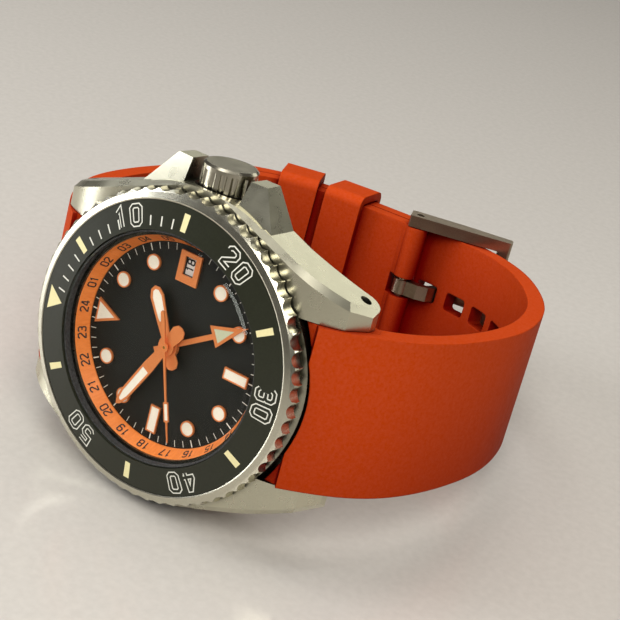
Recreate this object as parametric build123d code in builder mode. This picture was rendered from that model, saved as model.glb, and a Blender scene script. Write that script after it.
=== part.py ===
from build123d import *
import os
from math import atan2, cos, degrees, hypot, radians, sin, sqrt

# Dive watch with a 24-hour hand, closed on its buckled rubber strap.
#
# The watch is built dial up: +X points to 3 o'clock (the crown), +Y to 12 o'clock and +Z out of the dial.
# The origin is on the dial axis, in the plane of the bezel insert's outer edge. All sizes are millimetres.
# At the end every piece is turned into the pose in which the buckled watch rests on its side, crown up.

# ---------------------------------------------------------------- driving dimensions
CASE_R = 21.2              # case middle at the flanks
CASE_WAIST_R = 20.3        # case middle between the lugs
CASE_TOP = -2.3            # deck under the bezel
CASE_BOTTOM = -8.4
LUG_TIP = 24.0             # half of the lug-to-lug length
LUG_GAP = 11.0             # half of the strap width between the lugs
LUG_BOTTOM = -10.8
BAR_Y = 22.1               # lug spring bars
BAR_Z = -9.0
BAR_R = 0.75

BEZEL_R = 20.6
BEZEL_TEETH = 60
BEZEL_BOTTOM = -2.1
INSERT_R = 19.0
INSERT_IN_R = 15.3
INSERT_RISE = 0.55         # the insert is slightly conical
NECK_R = 16.3              # case neck that the bezel turns on

CRYSTAL_R = 14.95
CRYSTAL_TOP = 1.2
CRYSTAL_BOTTOM = -0.8
BORE_R = 15.0              # bore that holds chapter ring, dial and movement
LEDGE_R = 14.5             # ledge under the crystal
LEDGE_BOTTOM = -1.2

DIAL_R = 14.7
DIAL_TOP = -3.1
DIAL_BOTTOM = -3.5
DIAL_VISIBLE_R = 13.5
DIAL_FOOT_R = 0.35
MARKER_R = 10.9            # circle of the round hour markers
MARKER_TOP = -2.8
WINDOW_X = 10.85           # centre of the date window
WINDOW = (2.5, 1.7)
WINDOW_FRAME = (4.1, 3.3)

CROWN_Z = -6.9             # crown and stem axis
CROWN_R = 3.6
CROWN_IN = 20.35
CROWN_OUT = 24.2
CROWN_FLUTES = 16
TUBE_R = 1.35              # outside of the tube that the crown slides on

BACK_R = 18.4
BACK_BOTTOM = -12.1
BACK_INSIDE = -11.1

PLATE_R = 13.25
PLATE_TOP = -4.6
PLATE_BOTTOM = -6.2
BRIDGE_TOP = -9.1          # side of the bridges that faces the dial
BRIDGE_BOTTOM = -9.5
WALL = 0.3                 # rim walls of the main plate

STRAP_T = 2.5              # strap thickness around the wrist
STRAP_W = 21.8             # width between the lugs
TAIL_W = 20.0              # width at the buckle
TAPER = (-8.0, -50.0)      # heights between which the strap narrows
STRAP_END_R = 21.0         # concave strap ends that follow the case
KEEPER_W = 6.4             # keeper length along the strap
KEEPER_T = 1.3

GAP = 0.05                 # running clearance on arbors

# Wheel train: tooth counts and modules.
CENTRE_WHEEL = 80
CENTRE_PINION = 12
THIRD_WHEEL = 75
THIRD_PINION = 10
FOURTH_WHEEL = 96
FOURTH_PINION = 10
ESCAPE_PINION = 8
BARREL_TEETH = 84
TRAIN_MODULE = 0.12
BARREL_MODULE = 0.14
ESCAPE_MODULE = 0.10
ESCAPE_TEETH = 20

# Motion works under the dial.
CANNON_TEETH = 12
MINUTE_TEETH = 36
MINUTE_PINION = 10
HOUR_TEETH = 40
HOUR_UPPER = 30
IDLER_TEETH = 30
IDLER_PINION = 20
GMT_TEETH = 40
DATE_WHEEL_TEETH = 60
CALENDAR_MODULE = 0.14
CANNON_MODULE = 0.15

# Winding works.
STEM_PINION = 12
CROWN_WHEEL = 24
RATCHET_TEETH = 58
WINDING_MODULE = 0.16

# Directions of the off-centre arbors from the dial axis, in degrees from 3 o'clock towards 12.
BARREL_AT = 50
THIRD_AT = 190
ESCAPE_AT = 250
BALANCE_AT = 300
BALANCE_DISTANCE = 9.0
BALANCE_R = 3.85
MINUTE_AT = 330
IDLER_AT = 100
DATE_WHEEL_AT = 225

THIRD_DISTANCE = TRAIN_MODULE * (CENTRE_WHEEL + THIRD_PINION) / 2
THIRD_MODULE = 2 * THIRD_DISTANCE / (THIRD_WHEEL + FOURTH_PINION)
BARREL_DISTANCE = BARREL_MODULE * (BARREL_TEETH + CENTRE_PINION) / 2
ESCAPE_DISTANCE = ESCAPE_MODULE * (FOURTH_WHEEL + ESCAPE_PINION) / 2
MINUTE_DISTANCE = CANNON_MODULE * (CANNON_TEETH + MINUTE_TEETH) / 2
HOUR_MODULE = 2 * MINUTE_DISTANCE / (MINUTE_PINION + HOUR_TEETH)
IDLER_DISTANCE = CALENDAR_MODULE * (HOUR_UPPER + IDLER_TEETH) / 2
DATE_WHEEL_DISTANCE = CALENDAR_MODULE * (HOUR_UPPER + DATE_WHEEL_TEETH) / 2
WINDING_DISTANCE = WINDING_MODULE * (RATCHET_TEETH + CROWN_WHEEL) / 2

# Hands: direction in degrees clockwise from 12 o'clock, and the height of each blade's upper face.
HOUR_AT = 59.5
MINUTE_HAND_AT = 298.0
SECONDS_AT = 252.0
GMT_AT = 147.5
GMT_Z, HOUR_Z, MINUTE_Z, SECONDS_Z = -2.62, -2.22, -1.82, -1.42
BLADE = 0.18               # thickness of a hand's blade
GMT_PIPE, HOUR_PIPE, CANNON_PIPE, SECONDS_PIVOT = 1.10, 0.80, 0.50, 0.20


def polar(distance, direction):
    """Point at a distance from the dial axis; direction in degrees from 3 o'clock towards 12."""
    return (distance * cos(radians(direction)), distance * sin(radians(direction)))


DIAL_FEET = (polar(14.1, 140), polar(14.1, 320))
BARREL_XY = polar(BARREL_DISTANCE, BARREL_AT)
THIRD_XY = polar(THIRD_DISTANCE, THIRD_AT)
ESCAPE_XY = polar(ESCAPE_DISTANCE, ESCAPE_AT)
BALANCE_XY = polar(BALANCE_DISTANCE, BALANCE_AT)
MINUTE_XY = polar(MINUTE_DISTANCE, MINUTE_AT)
IDLER_XY = polar(IDLER_DISTANCE, IDLER_AT)
DATE_WHEEL_XY = polar(DATE_WHEEL_DISTANCE, DATE_WHEEL_AT)
# the crown wheel lies on the stem's line, in mesh with the ratchet wheel on the barrel arbor
CROWN_WHEEL_XY = (BARREL_XY[0] + sqrt(WINDING_DISTANCE ** 2 - BARREL_XY[1] ** 2), 0)
STEM_PINION_X = CROWN_WHEEL_XY[0] + WINDING_MODULE * CROWN_WHEEL / 2
BARREL_ARBOR_R = 0.6
CENTRE_ARBOR_R = 0.38


def at(xy, z):
    """Plane parallel to the dial at height z, centred on xy."""
    return Plane(origin=(xy[0], xy[1], z))


def dial_plane(clock_degrees, z):
    """Plane at height z whose +Y axis points along a hand at this angle clockwise from 12."""
    a = radians(clock_degrees)
    return Plane(origin=(0, 0, z), x_dir=(cos(a), -sin(a), 0), z_dir=(0, 0, 1))


def ring(outer, inner, top, bottom, xy=(0, 0)):
    """Add a plain ring or disc between two heights to the part being built."""
    with BuildSketch(at(xy, bottom)) as section:
        Circle(outer)
        if inner:
            Circle(inner, mode=Mode.SUBTRACT)
    extrude(section.sketch, amount=top - bottom)


def toothed(teeth, module, phase, hole):
    """Outline of a wheel with straight-flanked teeth; phase is the direction of its first tooth."""
    pitch = teeth * module / 2
    tip = pitch + 0.9 * module
    root = pitch - 1.15 * module
    corners = []
    for tooth in range(teeth):
        for radius, share in ((root, -0.34), (tip, -0.10), (tip, 0.10), (root, 0.34)):
            a = radians(phase + 360 * (tooth + share) / teeth)
            corners.append((radius * cos(a), radius * sin(a)))
    with BuildSketch() as outline:
        with BuildLine():
            Polyline(*corners, close=True)
        make_face()
        if hole:
            Circle(hole, mode=Mode.SUBTRACT)
    return outline.sketch


def wheel(teeth, module, phase, hole, top, bottom, xy=(0, 0)):
    """Add a toothed wheel between two heights to the part being built."""
    plane = at(xy, bottom)
    extrude(plane * toothed(teeth, module, phase, hole), amount=top - bottom)


def spiral(start, finish, turns, steps=16):
    """Radius and turn angle of points along a flat spiral."""
    count = steps * turns
    return [(start + (finish - start) * n / count, 360 * turns * n / count) for n in range(count + 1)]


def meshed(teeth_a, phase_a, direction, teeth_b):
    """Phase of wheel b that puts its teeth into the gaps of wheel a; direction points from a to b."""
    index = (direction - phase_a) * teeth_a / 360
    return direction + 180 - (0.5 - index) * 360 / teeth_b


# ---------------------------------------------------------------- case
FLANK_BASE = (19.3, 9.2)   # where the straight lug flank leaves the round case
FLANK_TIP = (13.6, LUG_TIP)

with BuildPart() as case_body:
    # plan: round middle with four straight-flanked lugs
    with BuildSketch(Plane.XY.offset(LUG_BOTTOM)) as case_plan:
        Circle(CASE_R)
        with BuildLine():
            Polyline(FLANK_BASE, FLANK_TIP, (-FLANK_TIP[0], FLANK_TIP[1]), (-FLANK_BASE[0], FLANK_BASE[1]),
                     (-FLANK_BASE[0], -FLANK_BASE[1]), (-FLANK_TIP[0], -FLANK_TIP[1]),
                     (FLANK_TIP[0], -FLANK_TIP[1]), (FLANK_BASE[0], -FLANK_BASE[1]), close=True)
        make_face()
    extrude(amount=CASE_TOP - LUG_BOTTOM)
    # side profile: the lugs bend down towards the wrist
    with BuildSketch(Plane.YZ) as case_side:
        with BuildLine() as half_side:
            crest = Line((0, CASE_TOP), (14.0, CASE_TOP))
            shoulder = TangentArc(crest @ 1, (22.3, -5.2), tangent=crest % 1)
            nose = Line(shoulder @ 1, (LUG_TIP, -8.3))
            chin = ThreePointArc(nose @ 1, (23.6, -10.2), (22.0, LUG_BOTTOM))
            heel = ThreePointArc(chin @ 1, (17.6, -9.3), (13.2, CASE_BOTTOM))
            floor_line = Line(heel @ 1, (0, CASE_BOTTOM))
            mirror(about=Plane.YZ)
        make_face()
    extrude(amount=CASE_R + 1, both=True, mode=Mode.INTERSECT)
    # polished bevel along the upper flank edges
    flank_edges = [
        edge for edge in case_body.edges()
        if abs(edge.center().X) > 12.5 and edge.center().Z > -7.5 and 9.5 < abs(edge.center().Y) < 23.2
        and edge.length > 3
    ]
    chamfer(flank_edges, 0.75)
    # room for the strap ends between the lugs
    with BuildSketch(Plane.XY.offset(LUG_BOTTOM - 1)) as lug_gap:
        Rectangle(2 * LUG_GAP, 3 * CASE_R)
        Circle(CASE_WAIST_R, mode=Mode.SUBTRACT)
    extrude(amount=CASE_TOP - LUG_BOTTOM + 2, mode=Mode.SUBTRACT)
    # crown guards
    for side in (1, -1):
        with BuildSketch(Plane.YZ.offset(18.0)) as guard_foot:
            with BuildLine():
                Polyline((side * 4.2, -2.6), (side * 10.8, -2.9), (side * 10.8, -8.4), (side * 4.2, -8.4), close=True)
            make_face()
        with BuildSketch(Plane.YZ.offset(23.7)) as guard_head:
            with BuildLine():
                Polyline((side * 4.6, -4.9), (side * 7.0, -5.1), (side * 6.8, -8.2), (side * 4.6, -8.2), close=True)
            make_face()
        loft(ruled=True)
    # recess for the crown
    with BuildSketch(Plane.YZ.offset(20.0)) as crown_recess:
        with Locations((0, CROWN_Z)):
            Circle(CROWN_R + 0.45)
    extrude(amount=6, mode=Mode.SUBTRACT)
    # neck that guides the bezel and holds the crystal
    ring(NECK_R, INSERT_IN_R, -0.95, CASE_TOP)
    ring(15.75, INSERT_IN_R - 0.05, -0.15, CASE_TOP)
    # bores for crystal, chapter ring, movement and case back
    with BuildSketch(Plane.XY.offset(LEDGE_BOTTOM)) as ledge:
        Circle(INSERT_IN_R)
        Circle(LEDGE_R, mode=Mode.SUBTRACT)
    extrude(amount=CRYSTAL_BOTTOM - LEDGE_BOTTOM)
    with BuildSketch(Plane.XY.offset(CRYSTAL_BOTTOM)) as crystal_seat:
        Circle(INSERT_IN_R - 0.05)
    extrude(amount=5, mode=Mode.SUBTRACT)
    with BuildSketch(Plane.XY.offset(LUG_BOTTOM - 1)) as ledge_bore:
        Circle(LEDGE_R)
    extrude(amount=12, mode=Mode.SUBTRACT)
    with BuildSketch(Plane.XY.offset(LUG_BOTTOM - 1)) as movement_bore:
        Circle(BORE_R)
    extrude(amount=LEDGE_BOTTOM - LUG_BOTTOM + 1, mode=Mode.SUBTRACT)
    with BuildSketch(Plane.XY.offset(LUG_BOTTOM - 1)) as thread_bore:
        Circle(16.2)
    extrude(amount=-7.3 - LUG_BOTTOM + 1, mode=Mode.SUBTRACT)
    # the case back's flange sits flush against the underside
    with BuildSketch(Plane.XY.offset(LUG_BOTTOM - 1)) as back_room:
        Circle(BACK_R + 0.2)
    extrude(amount=CASE_BOTTOM - LUG_BOTTOM + 1, mode=Mode.SUBTRACT)
    # crown tube hole
    with BuildSketch(Plane.YZ.offset(14.0)) as tube_hole:
        with Locations((0, CROWN_Z)):
            Circle(TUBE_R)
    extrude(amount=8, mode=Mode.SUBTRACT)
    # spring bar holes drilled right through the lugs
    with BuildSketch(Plane.YZ) as bar_holes:
        with Locations((BAR_Y, BAR_Z), (-BAR_Y, BAR_Z)):
            Circle(BAR_R)
    extrude(amount=CASE_R, both=True, mode=Mode.SUBTRACT)

with BuildPart() as caseback:
    with BuildSketch(Plane.XZ) as back_section:
        with BuildLine():
            Polyline((0, BACK_INSIDE), (13.9, BACK_INSIDE), (14.3, BACK_INSIDE + 0.4), (14.3, -7.5), (16.1, -7.5),
                     (16.1, CASE_BOTTOM - 0.1), (BACK_R, CASE_BOTTOM - 0.1), (BACK_R, -9.6),
                     (16.6, -11.8), (16.0, BACK_BOTTOM), (0, BACK_BOTTOM), close=True)
        make_face()
    revolve(axis=Axis.Z)
    # notches for the opening key
    with BuildSketch(Plane.XY.offset(BACK_BOTTOM - 0.5)) as key_notches:
        with PolarLocations(17.3, 6):
            Rectangle(2.4, 3.0)
    extrude(amount=1.9, mode=Mode.SUBTRACT)
    # groove of the gasket
    with BuildSketch(Plane.XY.offset(CASE_BOTTOM - 0.7)) as gasket_groove:
        Circle(17.35)
        Circle(16.45, mode=Mode.SUBTRACT)
    extrude(amount=0.7, mode=Mode.SUBTRACT)

with BuildPart() as caseback_gasket:
    with BuildSketch(Plane.XZ) as gasket_section:
        with Locations((16.9, CASE_BOTTOM - 0.4)):
            Circle(0.3)
    revolve(axis=Axis.Z)

with BuildPart() as crystal:
    with BuildSketch(Plane.XZ) as crystal_section:
        with BuildLine():
            Polyline((0, CRYSTAL_BOTTOM), (CRYSTAL_R, CRYSTAL_BOTTOM), (CRYSTAL_R, CRYSTAL_TOP - 0.35),
                     (CRYSTAL_R - 0.35, CRYSTAL_TOP), (0, CRYSTAL_TOP), close=True)
        make_face()
    revolve(axis=Axis.Z)

with BuildPart() as crystal_gasket:
    ring(INSERT_IN_R - 0.1, CRYSTAL_R + 0.02, 0.15, CRYSTAL_BOTTOM + 0.02)

# ---------------------------------------------------------------- bezel
SCALLOP_R = 1.4            # radius of the cutter between two bezel teeth
SCALLOP_AT = 21.5          # its distance from the dial axis
SCALLOP_PHASE = 0.85       # turn of the first scallop from 3 o'clock, in degrees

with BuildPart() as bezel_ring:
    with BuildSketch(Plane.XZ) as bezel_section:
        with BuildLine():
            Polyline((16.45, -0.85), (INSERT_R + 0.08, -0.85), (INSERT_R + 0.08, 0.0), (INSERT_R + 0.25, 0.06),
                     (20.0, -0.2), (20.45, -0.55), (BEZEL_R, -1.2), (BEZEL_R, BEZEL_BOTTOM),
                     (17.3, BEZEL_BOTTOM), (17.3, -1.35), (16.45, -1.35), close=True)
        make_face()
    revolve(axis=Axis.Z)
    # coin edge
    with BuildSketch(Plane.XY.offset(BEZEL_BOTTOM - 0.5)) as scallops:
        with PolarLocations(SCALLOP_AT, BEZEL_TEETH, start_angle=SCALLOP_PHASE):
            Circle(SCALLOP_R)
    extrude(amount=4, mode=Mode.SUBTRACT)

with BuildPart() as bezel_insert:
    with BuildSketch(Plane.XZ) as insert_section:
        with BuildLine():
            Polyline((INSERT_R, -0.8), (INSERT_R, 0), (INSERT_IN_R, INSERT_RISE), (INSERT_IN_R, -0.05),
                     (15.95, -0.1), (16.5, -0.8), close=True)
        make_face()
    revolve(axis=Axis.Z)

with BuildPart() as bezel_gasket:
    ring(17.25, NECK_R + 0.05, -1.42, -1.62)

with BuildPart() as bezel_click_spring:
    ring(17.2, NECK_R + 0.1, -1.95, -2.2)
    # three sprung tongues bent up towards the bezel
    with BuildSketch(Plane.XY.offset(-1.97)) as click_tongues:
        with PolarLocations(16.8, 3, start_angle=40):
            Rectangle(0.6, 2.2)
    extrude(amount=0.25)

# ---------------------------------------------------------------- dial side
with BuildPart() as chapter_ring:
    with BuildSketch(Plane.XZ) as chapter_section:
        with BuildLine():
            Polyline((DIAL_VISIBLE_R, DIAL_TOP + 0.02), (BORE_R - 0.05, DIAL_TOP + 0.02),
                     (BORE_R - 0.05, LEDGE_BOTTOM - 0.02), (LEDGE_R, LEDGE_BOTTOM - 0.02),
                     (DIAL_VISIBLE_R, DIAL_TOP + 0.2), close=True)
        make_face()
    revolve(axis=Axis.Z)

with BuildPart() as dial:
    ring(DIAL_R, GMT_PIPE + 0.15, DIAL_TOP, DIAL_BOTTOM)
    with BuildSketch(Plane.XY.offset(DIAL_BOTTOM)) as window_hole:
        with Locations((WINDOW_X, 0)):
            Rectangle(*WINDOW)
    extrude(amount=1, mode=Mode.SUBTRACT)
    # dial feet
    with BuildSketch(Plane.XY.offset(DIAL_BOTTOM)) as dial_feet:
        with Locations(*DIAL_FEET):
            Circle(DIAL_FOOT_R)
    extrude(amount=-0.9)

with BuildPart() as date_window_frame:
    with BuildSketch(Plane.XY.offset(DIAL_TOP + 0.01)) as frame_plan:
        with Locations((WINDOW_X - 0.2, 0)):
            Rectangle(*WINDOW_FRAME)
        with Locations((WINDOW_X, 0)):
            Rectangle(*WINDOW, mode=Mode.SUBTRACT)
    extrude(amount=MARKER_TOP - DIAL_TOP - 0.01)

MARKER_RIM = 0.17          # width of the metal rim round each marker's filling
ROUND_R = 1.05
with BuildPart() as hour_markers:
    # rims: round at most hours, bars at 6 and 9, a triangle at 12
    with BuildSketch(Plane.XY.offset(DIAL_TOP + 0.01)) as rims:
        with Locations(*[polar(MARKER_R, 90 - 30 * hour) for hour in (1, 2, 4, 5, 7, 8, 10, 11)]):
            Circle(ROUND_R)
            Circle(ROUND_R - MARKER_RIM, mode=Mode.SUBTRACT)
        with Locations((0, -10.5)):
            Rectangle(1.55, 3.7)
            Rectangle(1.55 - 2 * MARKER_RIM, 3.7 - 2 * MARKER_RIM, mode=Mode.SUBTRACT)
        with Locations((-10.5, 0)):
            Rectangle(3.7, 1.55)
            Rectangle(3.7 - 2 * MARKER_RIM, 1.55 - 2 * MARKER_RIM, mode=Mode.SUBTRACT)
        with BuildLine() as triangle:
            Polyline((-1.75, 12.5), (1.75, 12.5), (0, 8.7), close=True)
        make_face()
        with BuildLine() as triangle_inside:
            Polyline((-1.28, 12.3), (1.28, 12.3), (0, 9.5), close=True)
        make_face(mode=Mode.SUBTRACT)
    extrude(amount=MARKER_TOP - DIAL_TOP - 0.01)

with BuildPart() as hour_marker_fill:
    # luminous filling inside each rim, slightly lower than the rim
    with BuildSketch(Plane.XY.offset(DIAL_TOP + 0.01)) as fill:
        with Locations(*[polar(MARKER_R, 90 - 30 * hour) for hour in (1, 2, 4, 5, 7, 8, 10, 11)]):
            Circle(ROUND_R - MARKER_RIM)
        with Locations((0, -10.5)):
            Rectangle(1.55 - 2 * MARKER_RIM, 3.7 - 2 * MARKER_RIM)
        with Locations((-10.5, 0)):
            Rectangle(3.7 - 2 * MARKER_RIM, 1.55 - 2 * MARKER_RIM)
        with BuildLine() as triangle_fill:
            Polyline((-1.28, 12.3), (1.28, 12.3), (0, 9.5), close=True)
        make_face()
    extrude(amount=MARKER_TOP - DIAL_TOP - 0.06)

# ---------------------------------------------------------------- hands
HUB_R = 1.45
PRESS = 0.01               # between a hand and the pipe it is pressed on


def blade_outline(points):
    """Mirror one side of a hand's outline, given from tail to tip as (half width, distance) pairs."""
    right = [(half, along) for half, along in points]
    left = [(-half, along) for half, along in reversed(points) if half > 0]
    return right + left


with BuildPart() as gmt_hand:
    with BuildSketch(dial_plane(GMT_AT, GMT_Z - BLADE)) as gmt_plan:
        Circle(HUB_R)
        with BuildLine():
            Polyline(*blade_outline([(0.36, 0), (0.36, 7.1), (1.45, 7.1), (0.25, 11.3), (0, 12.7)]), close=True)
        make_face()
        # window of the arrow head
        with BuildLine():
            Polyline((-0.95, 7.55), (0.95, 7.55), (0, 10.5), close=True)
        make_face(mode=Mode.SUBTRACT)
        # counterweight
        with BuildLine():
            Polyline((-0.36, 0), (0.36, 0), (0.36, -2.6), (-0.36, -2.6), close=True)
        make_face()
        Circle(GMT_PIPE + PRESS, mode=Mode.SUBTRACT)
    extrude(amount=BLADE)

with BuildPart() as hour_hand:
    with BuildSketch(dial_plane(HOUR_AT, HOUR_Z - BLADE)) as hour_plan:
        Circle(HUB_R)
        with BuildLine():
            Polyline(*blade_outline([(0.60, 0.6), (0.82, 3.0), (1.08, 6.6), (0.70, 7.6), (0, 7.95)]), close=True)
        make_face()
        with BuildLine():
            Polyline(*blade_outline([(0.42, 3.3), (0.58, 3.9), (0.74, 6.5), (0.44, 7.3), (0, 7.5)]), close=True)
        make_face(mode=Mode.SUBTRACT)
        with BuildLine():
            Polyline(*blade_outline([(0.0, -3.15), (0.65, -2.95), (1.02, -2.3), (0.95, -1.5), (0.6, 0.0)]), close=True)
        make_face()
        Circle(HOUR_PIPE + PRESS, mode=Mode.SUBTRACT)
    extrude(amount=BLADE)

with BuildPart() as minute_hand:
    with BuildSketch(dial_plane(MINUTE_HAND_AT, MINUTE_Z - BLADE)) as minute_plan:
        Circle(1.2)
        with BuildLine():
            Polyline(*blade_outline([(0.62, 0.5), (0.84, 4.0), (0.76, 9.8), (0.42, 11.3), (0, 11.85)]), close=True)
        make_face()
        with BuildLine():
            Polyline(*blade_outline([(0.54, 4.7), (0.48, 9.6), (0.24, 10.8), (0, 11.0)]), close=True)
        make_face(mode=Mode.SUBTRACT)
        with BuildLine():
            Polyline(*blade_outline([(0.0, -3.75), (0.65, -3.55), (1.02, -2.85), (0.95, -2.0), (0.6, 0.0)]), close=True)
        make_face()
        Circle(CANNON_PIPE + PRESS, mode=Mode.SUBTRACT)
    extrude(amount=BLADE)

with BuildPart() as seconds_hand:
    with BuildSketch(dial_plane(SECONDS_AT, SECONDS_Z - BLADE)) as seconds_plan:
        Circle(0.62)
        with BuildLine():
            Polyline(*blade_outline([(0.17, 0), (0.14, 7.1), (0.38, 7.15), (0.38, 9.7), (0.12, 9.8), (0.07, 12.4),
                                     (0, 12.5)]), close=True)
        make_face()
        with BuildLine():
            Polyline((-0.24, 7.35), (0.24, 7.35), (0.24, 9.5), (-0.24, 9.5), close=True)
        make_face(mode=Mode.SUBTRACT)
        with BuildLine():
            Polyline(*blade_outline([(0, -4.8), (0.28, -4.6), (0.30, -3.4), (0.20, 0)]), close=True)
        make_face()
        Circle(SECONDS_PIVOT + PRESS, mode=Mode.SUBTRACT)
    extrude(amount=BLADE)
    ring(0.45, SECONDS_PIVOT + PRESS, SECONDS_Z - BLADE, MINUTE_Z + 0.08)

# ---------------------------------------------------------------- motion works and calendar, under the dial
CANNON_Z = (-4.22, -4.38)
HOUR_WHEEL_Z = (-4.00, -4.12)
UPPER_Z = (-3.80, -3.92)
GMT_WHEEL_Z = (-3.60, -3.72)
DATE_RING_Z = (-3.56, -3.74)

cannon_phase = 0.0
minute_phase = meshed(CANNON_TEETH, cannon_phase, MINUTE_AT, MINUTE_TEETH)
minute_pinion_phase = 0.0
hour_phase = meshed(MINUTE_PINION, minute_pinion_phase, MINUTE_AT + 180, HOUR_TEETH)
hour_upper_phase = 0.0
idler_phase = meshed(HOUR_UPPER, hour_upper_phase, IDLER_AT, IDLER_TEETH)
idler_pinion_phase = 0.0
gmt_phase = meshed(IDLER_PINION, idler_pinion_phase, IDLER_AT + 180, GMT_TEETH)
date_wheel_phase = meshed(HOUR_UPPER, hour_upper_phase, DATE_WHEEL_AT, DATE_WHEEL_TEETH)

with BuildPart() as cannon_pinion:
    wheel(CANNON_TEETH, CANNON_MODULE, cannon_phase, SECONDS_PIVOT + GAP, *CANNON_Z)
    ring(CANNON_PIPE, SECONDS_PIVOT + GAP, MINUTE_Z, CANNON_Z[0])

with BuildPart() as minute_wheel:
    wheel(MINUTE_TEETH, CANNON_MODULE, minute_phase, 0, *CANNON_Z, MINUTE_XY)
    wheel(MINUTE_PINION, HOUR_MODULE, minute_pinion_phase, 0, HOUR_WHEEL_Z[0], CANNON_Z[0], MINUTE_XY)
    ring(0.2, 0, CANNON_Z[1], PLATE_TOP - 0.6, MINUTE_XY)

with BuildPart() as hour_wheel:
    wheel(HOUR_TEETH, HOUR_MODULE, hour_phase, CANNON_PIPE + GAP, *HOUR_WHEEL_Z)
    wheel(HOUR_UPPER, CALENDAR_MODULE, hour_upper_phase, CANNON_PIPE + GAP, UPPER_Z[0], HOUR_WHEEL_Z[0])
    ring(HOUR_PIPE, CANNON_PIPE + GAP, HOUR_Z, UPPER_Z[0])

with BuildPart() as gmt_intermediate_wheel:
    wheel(IDLER_TEETH, CALENDAR_MODULE, idler_phase, 0, *UPPER_Z, IDLER_XY)
    wheel(IDLER_PINION, CALENDAR_MODULE, idler_pinion_phase, 0, GMT_WHEEL_Z[0], UPPER_Z[0], IDLER_XY)
    ring(0.25, 0, UPPER_Z[1], PLATE_TOP - 0.6, IDLER_XY)

with BuildPart() as gmt_wheel:
    wheel(GMT_TEETH, CALENDAR_MODULE, gmt_phase, HOUR_PIPE + GAP, *GMT_WHEEL_Z)
    ring(GMT_PIPE, HOUR_PIPE + GAP, GMT_Z, GMT_WHEEL_Z[0])

DATE_TEETH = 31
DATE_TEETH_R = (8.4, 8.9)
with BuildPart() as date_ring:
    # ring with 31 inside teeth, one for each day
    with BuildSketch(Plane.XY.offset(DATE_RING_Z[1])) as date_plan:
        Circle(12.9)
        Circle(DATE_TEETH_R[1], mode=Mode.SUBTRACT)
        with PolarLocations(DATE_TEETH_R[1], DATE_TEETH):
            Polygon((0.3, 0.35), (0.3, -0.35), (-0.5, -0.12), (-0.5, 0.12), align=None)
    extrude(amount=DATE_RING_Z[0] - DATE_RING_Z[1])

with BuildPart() as date_driving_wheel:
    wheel(DATE_WHEEL_TEETH, CALENDAR_MODULE, date_wheel_phase, 0, *UPPER_Z, DATE_WHEEL_XY)
    ring(0.3, 0, UPPER_Z[1], PLATE_TOP - 0.6, DATE_WHEEL_XY)
    # finger that pushes the date ring on once a day
    with BuildSketch(Plane(origin=(*DATE_WHEEL_XY, UPPER_Z[0]), x_dir=(1, 0.3, 0), z_dir=(0, 0, 1))) as finger:
        Circle(0.6)
        with BuildLine():
            Polyline((0, 0.35), (2.3, 0.12), (2.3, -0.12), (0, -0.35), close=True)
        make_face()
    extrude(amount=0.2)

# ---------------------------------------------------------------- movement
BARREL_Z = (-6.35, -6.70)
DRUM_BOTTOM = -7.72
DRUM_R = 5.35
ESCAPE_Z = (-7.0, -7.14)
CENTRE_Z = (-8.10, -8.24)
THIRD_Z = (-8.45, -8.59)
FOURTH_PINION_Z = (-8.36, -8.70)
FOURTH_Z = (-8.80, -8.92)
ESCAPE_PINION_Z = (-8.74, -9.0)
BALANCE_Z = (-7.95, -8.2)
HAIRSPRING_Z = (-8.4, -8.5)
FORK_BRIDGE_Z = (-7.5, -7.75)
PIVOT_R = 0.12             # arbor ends in their bearings
ARBOR_R = 0.25

centre_phase = 0.0
third_pinion_phase = meshed(CENTRE_WHEEL, centre_phase, THIRD_AT, THIRD_PINION)
third_phase = 0.0
fourth_pinion_phase = meshed(THIRD_WHEEL, third_phase, THIRD_AT + 180, FOURTH_PINION)
fourth_phase = 0.0
escape_pinion_phase = meshed(FOURTH_WHEEL, fourth_phase, ESCAPE_AT, ESCAPE_PINION)
centre_pinion_phase = 0.0
barrel_phase = meshed(CENTRE_PINION, centre_pinion_phase, BARREL_AT, BARREL_TEETH)

FORK_XY = ((ESCAPE_XY[0] * 0.57 + BALANCE_XY[0] * 0.43), (ESCAPE_XY[1] * 0.57 + BALANCE_XY[1] * 0.43))
STEM_BLOCK = (11.1, 13.05, 1.9)  # inner end, outer end and half width of the block round the stem
JEWEL_R = 0.55

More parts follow.
